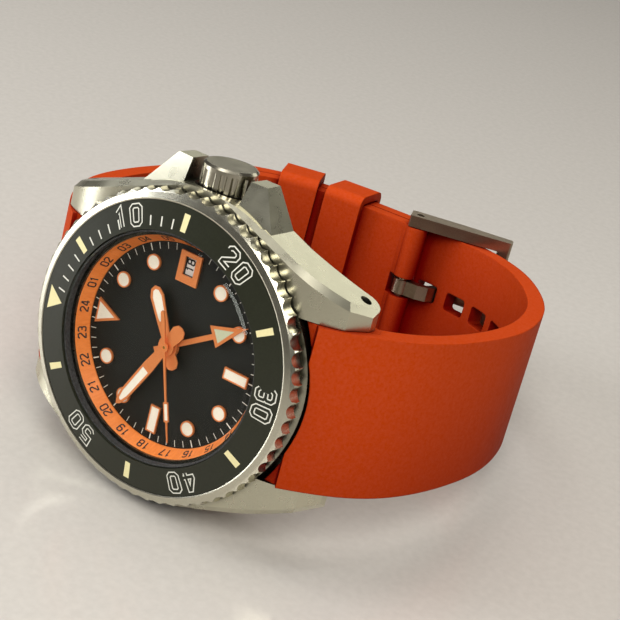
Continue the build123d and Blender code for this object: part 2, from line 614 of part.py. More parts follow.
with BuildPart() as main_plate:
    ring(PLATE_R, 0, PLATE_TOP, PLATE_BOTTOM)
    # rim walls towards the dial and towards the bridges
    ring(PLATE_R, PLATE_R - WALL + 0.05, DIAL_BOTTOM - 0.05, PLATE_TOP)
    ring(PLATE_R, PLATE_R - WALL, PLATE_BOTTOM, BRIDGE_TOP)
    # block that carries the stem
    with BuildSketch(Plane.XY.offset(CROWN_Z - 0.8)) as stem_block:
        with Locations(((STEM_BLOCK[0] + STEM_BLOCK[1]) / 2, 0)):
            Rectangle(STEM_BLOCK[1] - STEM_BLOCK[0], 2 * STEM_BLOCK[2])
    extrude(amount=PLATE_BOTTOM - CROWN_Z + 0.8)
    # stem bore, and a pocket for the winding pinion
    with BuildSketch(Plane.YZ.offset(8.5)) as stem_bore:
        with Locations((0, CROWN_Z)):
            Circle(0.62)
    extrude(amount=6, mode=Mode.SUBTRACT)
    with BuildSketch(Plane.XY.offset(PLATE_BOTTOM - 0.1)) as pinion_pocket:
        with Locations((STEM_PINION_X, 0)):
            Rectangle(1.5, 2.5)
    extrude(amount=0.7, mode=Mode.SUBTRACT)
    # bearing holes
    with BuildSketch(Plane.XY.offset(PLATE_BOTTOM - 0.1)) as plate_holes:
        Circle(CENTRE_ARBOR_R + GAP)
        with Locations(THIRD_XY, ESCAPE_XY, BALANCE_XY, FORK_XY):
            Circle(JEWEL_R)
        with Locations(BARREL_XY):
            Circle(BARREL_ARBOR_R + GAP)
        with Locations(CROWN_WHEEL_XY):
            Circle(0.3 + GAP)
        with Locations(MINUTE_XY):
            Circle(0.2 + GAP)
        with Locations(IDLER_XY):
            Circle(0.25 + GAP)
        with Locations(DATE_WHEEL_XY):
            Circle(0.3 + GAP)
    extrude(amount=PLATE_TOP - PLATE_BOTTOM + 0.2, mode=Mode.SUBTRACT)

with BuildPart() as movement_holder:
    # moulded ring between movement and case, cut away for the stem
    ring(BORE_R - 0.05, PLATE_R + 0.05, DIAL_BOTTOM - 0.02, -7.4)
    with BuildSketch(Plane.XY.offset(-7.5)) as stem_gap:
        with Locations((14, 0)):
            Rectangle(4, 4.4)
    extrude(amount=2.6, mode=Mode.SUBTRACT)
    with BuildSketch(Plane.XY.offset(DIAL_BOTTOM)) as foot_holes:
        with Locations(*DIAL_FEET):
            Circle(DIAL_FOOT_R + 0.02)
    extrude(amount=-1, mode=Mode.SUBTRACT)

with BuildPart() as jewels:
    # ruby bearings in main plate and bridges
    for xy in (THIRD_XY, ESCAPE_XY, FORK_XY, BALANCE_XY):
        ring(JEWEL_R, PIVOT_R + 0.03, PLATE_BOTTOM + 0.5, PLATE_BOTTOM, xy)
    for xy in (THIRD_XY, ESCAPE_XY, BALANCE_XY):
        ring(JEWEL_R, PIVOT_R + 0.03, BRIDGE_TOP, BRIDGE_BOTTOM, xy)
    ring(0.4, PIVOT_R + 0.03, *FORK_BRIDGE_Z, FORK_XY)

with BuildPart() as centre_wheel:
    ring(CENTRE_ARBOR_R, SECONDS_PIVOT + GAP, PLATE_TOP + 0.2, BARREL_Z[0])
    wheel(CENTRE_PINION, BARREL_MODULE, centre_pinion_phase, SECONDS_PIVOT + GAP, *BARREL_Z)
    ring(0.45, SECONDS_PIVOT + GAP, BARREL_Z[1], CENTRE_Z[0])
    wheel(CENTRE_WHEEL, TRAIN_MODULE, centre_phase, SECONDS_PIVOT + GAP, *CENTRE_Z)
    with BuildSketch(Plane.XY.offset(CENTRE_Z[1] - 0.1)) as centre_spokes:
        with PolarLocations(2.7, 5):
            Circle(1.15)
    extrude(amount=0.4, mode=Mode.SUBTRACT)

with BuildPart() as third_wheel:
    ring(PIVOT_R, 0, PLATE_BOTTOM + 0.4, BRIDGE_BOTTOM + 0.1, THIRD_XY)
    ring(ARBOR_R, 0, PLATE_BOTTOM - 0.1, CENTRE_Z[0] + 0.05, THIRD_XY)
    wheel(THIRD_PINION, TRAIN_MODULE, third_pinion_phase, 0, CENTRE_Z[0] + 0.05, CENTRE_Z[1] - 0.05, THIRD_XY)
    ring(ARBOR_R, 0, CENTRE_Z[1] - 0.05, BRIDGE_TOP + 0.1, THIRD_XY)
    wheel(THIRD_WHEEL, THIRD_MODULE, third_phase, 0, *THIRD_Z, THIRD_XY)
    with BuildSketch(at(THIRD_XY, THIRD_Z[1] - 0.1)) as third_spokes:
        with PolarLocations(2.5, 5):
            Circle(1.05)
    extrude(amount=0.4, mode=Mode.SUBTRACT)

with BuildPart() as fourth_wheel:
    ring(SECONDS_PIVOT, 0, SECONDS_Z - 0.06, FOURTH_PINION_Z[0])
    wheel(FOURTH_PINION, THIRD_MODULE, fourth_pinion_phase, 0, *FOURTH_PINION_Z)
    wheel(FOURTH_WHEEL, ESCAPE_MODULE, fourth_phase, 0, *FOURTH_Z)
    ring(SECONDS_PIVOT, 0, FOURTH_PINION_Z[1], BRIDGE_TOP - 0.25)
    with BuildSketch(Plane.XY.offset(FOURTH_Z[1] - 0.1)) as fourth_spokes:
        with PolarLocations(2.7, 5):
            Circle(1.15)
    extrude(amount=0.3, mode=Mode.SUBTRACT)

with BuildPart() as escape_wheel:
    # club teeth lean forward, in the direction of rotation
    with BuildSketch(at(ESCAPE_XY, ESCAPE_Z[1])) as escape_plan:
        Circle(1.55)
        with PolarLocations(0, ESCAPE_TEETH):
            Polygon((1.5, -0.16), (1.98, 0.10), (1.96, 0.26), (1.5, 0.08), align=None)
        with PolarLocations(1.0, 4):
            Circle(0.33, mode=Mode.SUBTRACT)
    extrude(amount=ESCAPE_Z[0] - ESCAPE_Z[1])
    ring(ARBOR_R, 0, PLATE_BOTTOM - 0.1, ESCAPE_PINION_Z[0], ESCAPE_XY)
    wheel(ESCAPE_PINION, ESCAPE_MODULE, escape_pinion_phase, 0, *ESCAPE_PINION_Z, ESCAPE_XY)
    ring(PIVOT_R, 0, PLATE_BOTTOM + 0.4, BRIDGE_BOTTOM + 0.1, ESCAPE_XY)

escape_to_fork = degrees(atan2(FORK_XY[1] - ESCAPE_XY[1], FORK_XY[0] - ESCAPE_XY[0]))
fork_reach = hypot(FORK_XY[0] - ESCAPE_XY[0], FORK_XY[1] - ESCAPE_XY[1])
fork_to_balance = hypot(BALANCE_XY[0] - FORK_XY[0], BALANCE_XY[1] - FORK_XY[1])
fork_plane = Plane(origin=(*FORK_XY, ESCAPE_Z[1]),
                   x_dir=(cos(radians(escape_to_fork)), sin(radians(escape_to_fork)), 0), z_dir=(0, 0, 1))
PALLET_SPAN = 1.52         # sideways distance of each pallet stone from the line of centres
HORN = fork_to_balance - 1.05
with BuildPart() as pallet_fork:
    with BuildSketch(fork_plane) as fork_plan:
        Circle(0.45)
        # lever with its forked end towards the balance
        with BuildLine():
            Polyline((0, 0.16), (HORN - 0.35, 0.16), (HORN, 0.42), (HORN, 0.2), (HORN - 0.25, 0.12), (HORN - 0.25, -0.12),
                     (HORN, -0.2), (HORN, -0.42), (HORN - 0.35, -0.16), (0, -0.16), close=True)
        make_face()
        # two arms with the pallet stones
        for side in (1, -1):
            with BuildLine():
                Polyline((0.2, 0), (-0.25, side * 0.3), (-0.75, side * PALLET_SPAN), (-1.4, side * (PALLET_SPAN + 0.12)),
                         (-1.4, side * (PALLET_SPAN + 0.38)), (-0.45, side * (PALLET_SPAN + 0.25)),
                         (0.2, side * 0.4), close=True)
            make_face()
    extrude(amount=ESCAPE_Z[0] - ESCAPE_Z[1])
    ring(PIVOT_R, 0, PLATE_BOTTOM + 0.4, FORK_BRIDGE_Z[1] + 0.05, FORK_XY)
    ring(ARBOR_R, 0, PLATE_BOTTOM - 0.1, FORK_BRIDGE_Z[0] + 0.08, FORK_XY)

with BuildPart() as balance_wheel:
    with BuildSketch(at(BALANCE_XY, BALANCE_Z[1])) as balance_plan:
        Circle(BALANCE_R)
        Circle(BALANCE_R - 0.5, mode=Mode.SUBTRACT)
        Rectangle(2 * BALANCE_R - 0.6, 0.5)
        Rectangle(0.5, 2 * BALANCE_R - 0.6)
        Circle(0.8)
    extrude(amount=BALANCE_Z[0] - BALANCE_Z[1])
    ring(PIVOT_R, 0, PLATE_BOTTOM + 0.4, BRIDGE_BOTTOM + 0.1, BALANCE_XY)
    ring(ARBOR_R, 0, PLATE_BOTTOM - 0.1, BRIDGE_TOP + 0.1, BALANCE_XY)
    # roller that carries the impulse jewel
    ring(0.75, 0, -7.3, -7.5, BALANCE_XY)

with BuildPart() as hairspring:
    # flat spiral from the collet to the stud
    with BuildSketch(at(BALANCE_XY, HAIRSPRING_Z[1])) as spiral_plan:
        with BuildLine():
            coil = spiral(0.5, 2.0, turns=5)
            Spline(*[polar(radius, turn) for radius, turn in coil])
            Line(polar(2.0, 0), polar(2.07, 0))
            Spline(*[polar(radius + 0.07, turn) for radius, turn in reversed(coil)])
            Line(polar(0.57, 0), polar(0.5, 0))
        make_face()
    extrude(amount=HAIRSPRING_Z[0] - HAIRSPRING_Z[1])
    ring(0.53, ARBOR_R + PRESS, *HAIRSPRING_Z, BALANCE_XY)

RATCHET_Z = (-7.88, -8.02)
with BuildPart() as barrel_drum:
    wheel(BARREL_TEETH, BARREL_MODULE, barrel_phase, BARREL_ARBOR_R + GAP, *BARREL_Z, BARREL_XY)
    ring(DRUM_R, BARREL_ARBOR_R + GAP, BARREL_Z[1], DRUM_BOTTOM, BARREL_XY)
    with BuildSketch(at(BARREL_XY, DRUM_BOTTOM + 0.15)) as drum_hollow:
        Circle(DRUM_R - 0.2)
    extrude(amount=BARREL_Z[1] - DRUM_BOTTOM - 0.2, mode=Mode.SUBTRACT)

with BuildPart() as mainspring:
    # coiled ribbon, hooked to the drum's wall
    with BuildSketch(at(BARREL_XY, DRUM_BOTTOM + 0.2)) as ribbon_plan:
        with BuildLine():
            ribbon = spiral(1.4, 4.9, turns=9)
            Spline(*[polar(radius, turn) for radius, turn in ribbon])
            Line(polar(4.9, 0), polar(5.05, 0))
            Spline(*[polar(radius + 0.15, turn) for radius, turn in reversed(ribbon)])
            Line(polar(1.55, 0), polar(1.4, 0))
        make_face()
    extrude(amount=BARREL_Z[1] - DRUM_BOTTOM - 0.3)

ratchet_at = degrees(atan2(CROWN_WHEEL_XY[1] - BARREL_XY[1], CROWN_WHEEL_XY[0] - BARREL_XY[0]))
crown_wheel_phase = 0.0
ratchet_phase = meshed(CROWN_WHEEL, crown_wheel_phase, ratchet_at + 180, RATCHET_TEETH)
with BuildPart() as ratchet_wheel:
    # ratchet wheel and barrel arbor turn as one
    ring(BARREL_ARBOR_R, 0, PLATE_BOTTOM + 0.6, BRIDGE_BOTTOM + 0.05, BARREL_XY)
    ring(1.2, 0, BARREL_Z[1] - 0.1, DRUM_BOTTOM + 0.2, BARREL_XY)
    wheel(RATCHET_TEETH, WINDING_MODULE, ratchet_phase, 0, *RATCHET_Z, BARREL_XY)

with BuildPart() as crown_wheel:
    wheel(CROWN_WHEEL, WINDING_MODULE, crown_wheel_phase, 0, *RATCHET_Z, CROWN_WHEEL_XY)
    ring(0.3, 0, PLATE_BOTTOM + 0.6, BRIDGE_BOTTOM + 0.05, CROWN_WHEEL_XY)

with BuildPart() as winding_pinion:
    # slides on the stem and drives the crown wheel at a right angle
    with BuildSketch(Plane.YZ.offset(STEM_PINION_X - 0.1)) as pinion_plan:
        with Locations((0, CROWN_Z)):
            add(toothed(STEM_PINION, WINDING_MODULE, -90 + 180 / STEM_PINION, 0.42))
    extrude(amount=0.7)

BRIDGE_R = 13.2
COCK_W = 3.4
balance_dir = Plane(origin=(0, 0, BRIDGE_BOTTOM), x_dir=(cos(radians(BALANCE_AT)), sin(radians(BALANCE_AT)), 0),
                    z_dir=(0, 0, 1))
with BuildPart() as barrel_bridge:
    with BuildSketch(Plane.XY.offset(BRIDGE_BOTTOM)) as barrel_bridge_plan:
        Circle(BRIDGE_R)
        with Locations((0, -BRIDGE_R + 1.2)):
            Rectangle(2 * BRIDGE_R + 1, 2 * BRIDGE_R, mode=Mode.SUBTRACT)
        with BuildLine():
            Polyline((6.2, 1.0), (6.2, -2.2), (12.9, -2.2), (13.1, 1.5), (6.2, 1.5), close=True)
        make_face()
        with Locations(BARREL_XY):
            Circle(BARREL_ARBOR_R + GAP, mode=Mode.SUBTRACT)
        with Locations(CROWN_WHEEL_XY):
            Circle(0.3 + GAP, mode=Mode.SUBTRACT)
    extrude(amount=BRIDGE_TOP - BRIDGE_BOTTOM)

with BuildPart() as train_bridge:
    with BuildSketch(Plane.XY.offset(BRIDGE_BOTTOM)) as train_bridge_plan:
        Circle(BRIDGE_R)
        with Locations((0, BRIDGE_R + 1.1)):
            Rectangle(2 * BRIDGE_R + 1, 2 * BRIDGE_R, mode=Mode.SUBTRACT)
        with Locations((BRIDGE_R + 6.1, 0)):
            Rectangle(2 * BRIDGE_R, 3 * BRIDGE_R, mode=Mode.SUBTRACT)
        with Locations(BALANCE_XY):
            Circle(BALANCE_R + 0.35, mode=Mode.SUBTRACT)
        with Locations(THIRD_XY, ESCAPE_XY):
            Circle(JEWEL_R, mode=Mode.SUBTRACT)
        Circle(SECONDS_PIVOT + GAP, mode=Mode.SUBTRACT)
    extrude(amount=BRIDGE_TOP - BRIDGE_BOTTOM)
    # room for the balance cock
    with BuildSketch(balance_dir) as cock_room:
        with Locations((BALANCE_DISTANCE + 2.5, 0)):
            Rectangle(7, COCK_W + 0.2)
    extrude(amount=BRIDGE_TOP - BRIDGE_BOTTOM, mode=Mode.SUBTRACT)

with BuildPart() as balance_cock:
    with BuildSketch(balance_dir) as cock_plan:
        with Locations((BALANCE_DISTANCE, 0)):
            Circle(COCK_W / 2)
        with Locations(((BALANCE_DISTANCE + 13.0) / 2, 0)):
            Rectangle(13.0 - BALANCE_DISTANCE, COCK_W)
        with Locations((BALANCE_DISTANCE, 0)):
            Circle(JEWEL_R, mode=Mode.SUBTRACT)
    extrude(amount=BRIDGE_TOP - BRIDGE_BOTTOM)

with BuildPart() as pallet_bridge:
    # small bridge over the fork, under the balance wheel
    with BuildSketch(fork_plane.offset(FORK_BRIDGE_Z[1] - ESCAPE_Z[1])) as pallet_bridge_plan:
        Circle(0.85)
        with Locations((0.2, 1.6)):
            Rectangle(1.0, 3.2)
        with Locations((0.2, 3.2)):
            Circle(0.7)
        Circle(0.4, mode=Mode.SUBTRACT)
    extrude(amount=FORK_BRIDGE_Z[0] - FORK_BRIDGE_Z[1])
    with BuildSketch(fork_plane.offset(FORK_BRIDGE_Z[0] - ESCAPE_Z[1])) as pallet_bridge_foot:
        with Locations((0.2, 3.3)):
            Circle(0.55)
    extrude(amount=PLATE_BOTTOM - FORK_BRIDGE_Z[0])

with BuildPart() as bridge_screws:
    for xy in (polar(11.6, 35), polar(11.6, 120), polar(11.4, 172), polar(11.8, 205), polar(11.6, 262), (9.9, -1.2)):
        ring(0.65, 0, BRIDGE_BOTTOM - 0.01, BRIDGE_BOTTOM - 0.16, xy)

BEARING_R = 1.3
ROTOR_R = 12.9
ROTOR_RIM = (-9.75, -10.8)
ROTOR_WEB = (-10.25, -10.5)
ROTOR_AT = 178.7           # its heavy side hangs down in the resting pose
rotor_plane = Plane(origin=(0, 0, 0), x_dir=(cos(radians(ROTOR_AT)), sin(radians(ROTOR_AT)), 0), z_dir=(0, 0, 1))
with BuildPart() as rotor_bearing:
    ring(BEARING_R, 0, BRIDGE_BOTTOM - 0.02, ROTOR_WEB[0] + 0.1)
    ring(BEARING_R - 0.5, 0, ROTOR_WEB[0] + 0.1, ROTOR_WEB[1] - 0.1)
    ring(BEARING_R - 0.1, 0, ROTOR_WEB[1] - 0.1, ROTOR_WEB[1] - 0.25)

with BuildPart() as rotor:
    # winding weight: a thin web with a heavy half rim
    with BuildSketch(rotor_plane.offset(ROTOR_WEB[1])) as web_plan:
        Circle(ROTOR_R)
        with Locations((-ROTOR_R, 0)):
            Rectangle(2 * ROTOR_R, 2 * ROTOR_R, mode=Mode.SUBTRACT)
        Circle(2.6)
        Circle(BEARING_R - 0.5 + GAP, mode=Mode.SUBTRACT)
        with Locations((6.0, 4.2), (6.0, -4.2)):
            Circle(1.7, mode=Mode.SUBTRACT)
    extrude(amount=ROTOR_WEB[0] - ROTOR_WEB[1])
    with BuildSketch(rotor_plane.offset(ROTOR_RIM[1])) as rim_plan:
        Circle(ROTOR_R)
        Circle(ROTOR_R - 2.6, mode=Mode.SUBTRACT)
        with Locations((-ROTOR_R, 0)):
            Rectangle(2 * ROTOR_R, 3 * ROTOR_R, mode=Mode.SUBTRACT)
    extrude(amount=ROTOR_RIM[0] - ROTOR_RIM[1])

# ---------------------------------------------------------------- crown
with BuildPart() as crown_tube:
    with BuildSketch(Plane.YZ.offset(16.3)) as tube_plan:
        with Locations((0, CROWN_Z)):
            Circle(TUBE_R - 0.01)
            Circle(1.05, mode=Mode.SUBTRACT)
    extrude(amount=5.5)

with BuildPart() as crown:
    with BuildSketch(Plane.YZ.offset(CROWN_IN)) as crown_plan:
        with Locations((0, CROWN_Z)):
            Circle(CROWN_R)
            Circle(TUBE_R + 0.5, mode=Mode.SUBTRACT)
    extrude(amount=CROWN_OUT - CROWN_IN)
    with BuildSketch(Plane.YZ.offset(22.1)) as crown_cap:
        with Locations((0, CROWN_Z)):
            Circle(CROWN_R - 0.5)
    extrude(amount=CROWN_OUT - 22.1)
    # pipe that runs inside the tube
    with BuildSketch(Plane.YZ.offset(17.6)) as crown_pipe:
        with Locations((0, CROWN_Z)):
            Circle(0.95)
    extrude(amount=5)
    rim_edges = crown.edges().filter_by(GeomType.CIRCLE).group_by(Axis.X)[-1]
    chamfer(rim_edges, 0.3)
    # flutes below the polished rim
    with BuildSketch(Plane.YZ.offset(CROWN_IN - 0.1)) as flutes:
        with Locations((0, CROWN_Z)):
            with PolarLocations(CROWN_R + 0.22, CROWN_FLUTES):
                Circle(0.5)
    extrude(amount=CROWN_OUT - CROWN_IN - 0.7, mode=Mode.SUBTRACT)
    # bore for the stem
    with BuildSketch(Plane.YZ.offset(17.5)) as stem_socket:
        with Locations((0, CROWN_Z)):
            Circle(0.42)
    extrude(amount=4.5, mode=Mode.SUBTRACT)

with BuildPart() as crown_gasket:
    with BuildSketch(Plane.YZ.offset(18.2)) as crown_gasket_plan:
        with Locations((0, CROWN_Z)):
            Circle(1.02)
            Circle(0.95, mode=Mode.SUBTRACT)
    extrude(amount=0.8)

with BuildPart() as winding_stem:
    with BuildSketch(Plane.YZ.offset(STEM_PINION_X - 0.9)) as stem_plan:
        with Locations((0, CROWN_Z)):
            Circle(0.4)
    extrude(amount=21.6 - STEM_PINION_X + 0.9)

# ---------------------------------------------------------------- strap
# Side profiles of the strap are drawn in the plane of 12 o'clock and dial axis, as (Y, Z) points.
LAYER_GAP = 0.3            # between the two strap layers where they overlap
BUCKLE_BAR = (-0.4, -63.1)
BUCKLE_BAR_R = 0.7
LOOP_R = 1.75              # strap loop round the buckle bar
short_half_back = Spline((19.8, -2.9), (23.4, -6.3), (28.0, -13.1), (30.7, -18.9), (32.4, -25.8), (33.2, -34.4),
                         (32.7, -44.2), (30.1, -52.7), (24.7, -59.8), (17.1, -63.2), (9.0, -64.5), (2.0, -64.95))


def outward(curve, t, distance):
    """Point at a distance to the right of a curve's direction of travel, as seen in the side profile."""
    point = curve @ t
    direction = curve % t
    return (point.X - distance * direction.Y, point.Y + distance * direction.X)


def inner_edge(curve, thicker_until, side):
    """Points of a strap band's inner face; the band is thicker where it leaves the case."""
    points = []
    for n in range(STATIONS + 1):
        t = n / STATIONS
        thick = STRAP_T + ROOT_EXTRA * max(0.0, 1 - t / thicker_until) ** 2
        points.append(outward(curve, t, side * thick))
    return points


STATIONS = 28
ROOT_EXTRA = 1.8           # extra thickness where a half leaves the case
short_inner = inner_edge(short_half_back, 0.3, -1)

# the long half runs from the 6 o'clock lugs, over the buckle bar and on along the outside of the short half
overlap = [outward(short_half_back, t, LAYER_GAP + STRAP_T) for t in (0.934, 0.85, 0.755, 0.66, 0.575, 0.51)]
long_half_back = Spline((-20.1, -2.7), (-23.7, -5.8), (-28.5, -11.6), (-31.1, -17.6), (-32.7, -24.8), (-33.3, -33.3),
                        (-32.3, -41.1), (-29.7, -49.2), (-25.2, -56.7), (-19.5, -62.7), (-12.8, -66.2), (-6.1, -67.5),
                        *overlap)
long_inner = inner_edge(long_half_back, 0.2, 1)

STRAP_END = [(17.0, -3.4), (19.4, -3.4), (22.9, -6.9), (24.9, -9.4), (24.4, -10.6), (22.6, -11.2), (20.0, -10.6),
             (17.0, -10.2)]
HOLE_PITCH = 6.1
HOLE = (3.8, 2.9)          # tongue holes, along and across the strap
HOLE_Y = -4.1              # place of the hole that the tongue passes through
TAIL_CORNER = 7.0
SLOT = (1.8, -3.2, 3.3)    # tongue slot in the short half: its two ends and its width


def strap_half(side, curve, inside):
    """Add one strap half: the band and the solid end that fills the gap between the lugs."""
    with BuildSketch(Plane.YZ) as band:
        with BuildLine():
            add(curve)
            Spline(*inside)
            Line(curve @ 0, inside[0])
            Line(curve @ 1, inside[-1])
        make_face()
    extrude(band.sketch, amount=STRAP_W / 2, both=True)
    # the strap narrows from the lugs to the buckle
    with BuildSketch(Plane.XZ) as taper:
        with BuildLine():
            Polyline((STRAP_W / 2, 0), (STRAP_W / 2, TAPER[0]), (TAIL_W / 2, TAPER[1]), (TAIL_W / 2, -75),
                     (-TAIL_W / 2, -75), (-TAIL_W / 2, TAPER[1]), (-STRAP_W / 2, TAPER[0]), (-STRAP_W / 2, 0), close=True)
        make_face()
    extrude(taper.sketch, amount=50, both=True, mode=Mode.INTERSECT)
    with BuildSketch(Plane.YZ) as end_block:
        with BuildLine():
            Polyline(*[(side * y, z) for y, z in STRAP_END], close=True)
        make_face()
    extrude(end_block.sketch, amount=STRAP_W / 2, both=True)
    # concave end that follows the case, and the tube for the spring bar
    with BuildSketch(Plane.XY.offset(-13)) as concave:
        Circle(STRAP_END_R)
    extrude(concave.sketch, amount=11, mode=Mode.SUBTRACT)
    with BuildSketch(Plane.YZ) as bar_tube:
        with Locations((side * BAR_Y, BAR_Z)):
            Circle(BAR_R + 0.02)
    extrude(bar_tube.sketch, amount=CASE_R, both=True, mode=Mode.SUBTRACT)


with BuildPart() as strap_buckle_half:
    strap_half(1, short_half_back, short_inner)
    # loop round the buckle's bar, slotted for the tongue
    with BuildSketch(Plane.YZ) as bar_loop:
        with Locations(BUCKLE_BAR):
            Circle(LOOP_R)
        with BuildLine():
            Polyline((BUCKLE_BAR[0], BUCKLE_BAR[1] + LOOP_R), (BUCKLE_BAR[0], BUCKLE_BAR[1] - LOOP_R), short_half_back @ 1,
                     short_half_back @ 0.99, short_inner[-2], short_inner[-1], close=True)
        make_face()
    extrude(amount=TAIL_W / 2, both=True)
    with BuildSketch(Plane.YZ) as bar_bore:
        with Locations(BUCKLE_BAR):
            Circle(BUCKLE_BAR_R + GAP)
    extrude(amount=STRAP_W, both=True, mode=Mode.SUBTRACT)
    with BuildSketch(Plane.XY.offset(BUCKLE_BAR[1] - 4)) as tongue_slot:
        with Locations((0, (SLOT[0] + SLOT[1]) / 2)):
            Rectangle(SLOT[2], SLOT[0] - SLOT[1])
    extrude(amount=8, mode=Mode.SUBTRACT)


def station(curve, distance, side):
    """Plane on a strap half's outer face: x along the strap, z out of it; distance runs from the case."""
    point = curve.position_at(distance, PositionMode.LENGTH)
    along = curve.tangent_at(distance, PositionMode.LENGTH)
    return Plane(origin=(0, point.X, point.Y), x_dir=(0, along.X, along.Y),
                 z_dir=(0, -side * along.Y, side * along.X))


def distance_at_y(curve, y, start):
    """Distance along a strap curve, past the given start, at which it crosses this y."""
    steps = [start + 0.1 * n for n in range(int((curve.length - start) / 0.1))]
    return min(steps, key=lambda s: abs(curve.position_at(s, PositionMode.LENGTH).X - y))


tongue_hole_at = distance_at_y(long_half_back, HOLE_Y, 50)
with BuildPart() as strap_tail_half:
    strap_half(-1, long_half_back, long_inner)
    tail_end = long_half_back @ 1
    tail_edges = [
        edge for edge in strap_tail_half.edges()
        if hypot(edge.center().Y - tail_end.X, edge.center().Z - tail_end.Y) < STRAP_T
        and abs(edge.center().X) > TAIL_W / 2 - 0.1 and edge.length < 1.5 * STRAP_T
    ]
    fillet(tail_edges, TAIL_CORNER)
    # tongue holes along the strap, one of them over the buckle bar
    for hole in range(-3, 4):
        hole_plane = station(long_half_back, tongue_hole_at + hole * HOLE_PITCH, -1)
        with BuildSketch(hole_plane.offset(1)) as tongue_hole:
            RectangleRounded(*HOLE, 0.5)
        extrude(amount=-STRAP_T - 2, mode=Mode.SUBTRACT)

with BuildPart() as lug_spring_bars:
    for side in (1, -1):
        with BuildSketch(Plane.YZ) as spring_bar_plan:
            with Locations((side * BAR_Y, BAR_Z)):
                Circle(BAR_R - 0.02)
        extrude(amount=LUG_GAP + 1.4, both=True)

# ---------------------------------------------------------------- keepers
KEEPER_ROOM = 0.3          # room round the strap's edges inside a keeper
STACK = 2 * STRAP_T + LAYER_GAP
FIXED_KEEPER_Y = 21.4
FREE_KEEPER_Y = 12.8
KEEPER_LIFT = (0.4, 0.55)  # room over and under the two layers, in the fixed and in the free keeper


def keeper(y, lift):
    """Add a loop of rubber round both strap layers at this place along the short half."""
    plane = station(short_half_back, distance_at_y(short_half_back, y, 30), 1)
    height = STACK + 2 * lift
    middle = STRAP_T + LAYER_GAP - STACK / 2
    across = Plane(origin=plane.origin, x_dir=(1, 0, 0), z_dir=plane.x_dir)
    outward_sign = 1 if across.y_dir.dot(plane.z_dir) > 0 else -1
    with BuildSketch(across) as loop_section:
        with Locations((0, outward_sign * middle)):
            RectangleRounded(TAIL_W + 2 * (KEEPER_ROOM + KEEPER_T), height + 2 * KEEPER_T, 1.6)
            RectangleRounded(TAIL_W + 2 * KEEPER_ROOM, height, 0.5, mode=Mode.SUBTRACT)
    extrude(loop_section.sketch, amount=KEEPER_W / 2, both=True)


with BuildPart() as fixed_keeper:
    keeper(FIXED_KEEPER_Y, KEEPER_LIFT[0])

with BuildPart() as free_keeper:
    keeper(FREE_KEEPER_Y, KEEPER_LIFT[1])

# ---------------------------------------------------------------- buckle
ARM_IN = TAIL_W / 2 + 0.15
ARM_T = 1.8
# side outlines in the (Y, Z) plane: an arm of the frame, and the crossbar at its far end
ARM_SIDE = [(0.4, -61.1), (-14.8, -67.8), (-13.9, -69.8), (-6.0, -67.4), (1.7, -64.4)]
CROSSBAR_SIDE = [(-14.8, -67.8), (-13.9, -69.8), (-12.0, -69.0), (-12.9, -67.0)]
TONGUE_W = 2.3
# the tongue leaves its knuckle, dips through a strap hole and lies over the crossbar
TONGUE_SIDE = [(0.3, -61.95), (-3.4, -62.6), (-4.9, -63.6), (-5.5, -65.0), (-5.6, -67.3), (-6.4, -68.25), (-15.3, -70.2),
               (-15.6, -70.8), (-14.9, -71.1), (-5.6, -69.15), (-4.5, -68.0), (-4.4, -65.5), (-4.1, -64.6),
               (-3.2, -63.9), (-0.6, -64.3)]

with BuildPart() as buckle_frame:
    # two arms joined by the crossbar
    for side in (1, -1):
        with BuildSketch(Plane.YZ.offset(side * ARM_IN)) as arm:
            with BuildLine():
                Polyline(*ARM_SIDE, close=True)
            make_face()
            fillet(arm.vertices(), 0.4)
            with Locations(BUCKLE_BAR):
                Circle(BUCKLE_BAR_R - 0.1, mode=Mode.SUBTRACT)
        extrude(amount=side * ARM_T)
    with BuildSketch(Plane.YZ) as crossbar:
        with BuildLine():
            Polyline(*CROSSBAR_SIDE, close=True)
        make_face()
        fillet(crossbar.vertices(), 0.45)
    extrude(amount=ARM_IN + 0.1, both=True)

with BuildPart() as buckle_bar:
    with BuildSketch(Plane.YZ) as buckle_bar_plan:
        with Locations(BUCKLE_BAR):
            Circle(BUCKLE_BAR_R)
    extrude(amount=ARM_IN - 0.05, both=True)
    # sprung tips in the frame's arms
    with BuildSketch(Plane.YZ) as bar_tips:
        with Locations(BUCKLE_BAR):
            Circle(BUCKLE_BAR_R - 0.12)
    extrude(amount=ARM_IN + 0.9, both=True)

with BuildPart() as buckle_tongue:
    with BuildSketch(Plane.YZ) as tongue_side:
        with Locations(BUCKLE_BAR):
            Circle(1.4)
        with BuildLine():
            Polyline(*TONGUE_SIDE, close=True)
        make_face()
        with Locations(BUCKLE_BAR):
            Circle(BUCKLE_BAR_R + GAP, mode=Mode.SUBTRACT)
    extrude(amount=TONGUE_W / 2, both=True)

# ---------------------------------------------------------------- resting pose and export
# The buckled watch rests on its side, crown up: on the case's 9 o'clock flank at the front, and at the back on
# a keeper and on an arm of the buckle. In that pose +Z is up and the dial faces -Y.
REST_UP = Vector(0.987557, -0.026988, 0.15493)

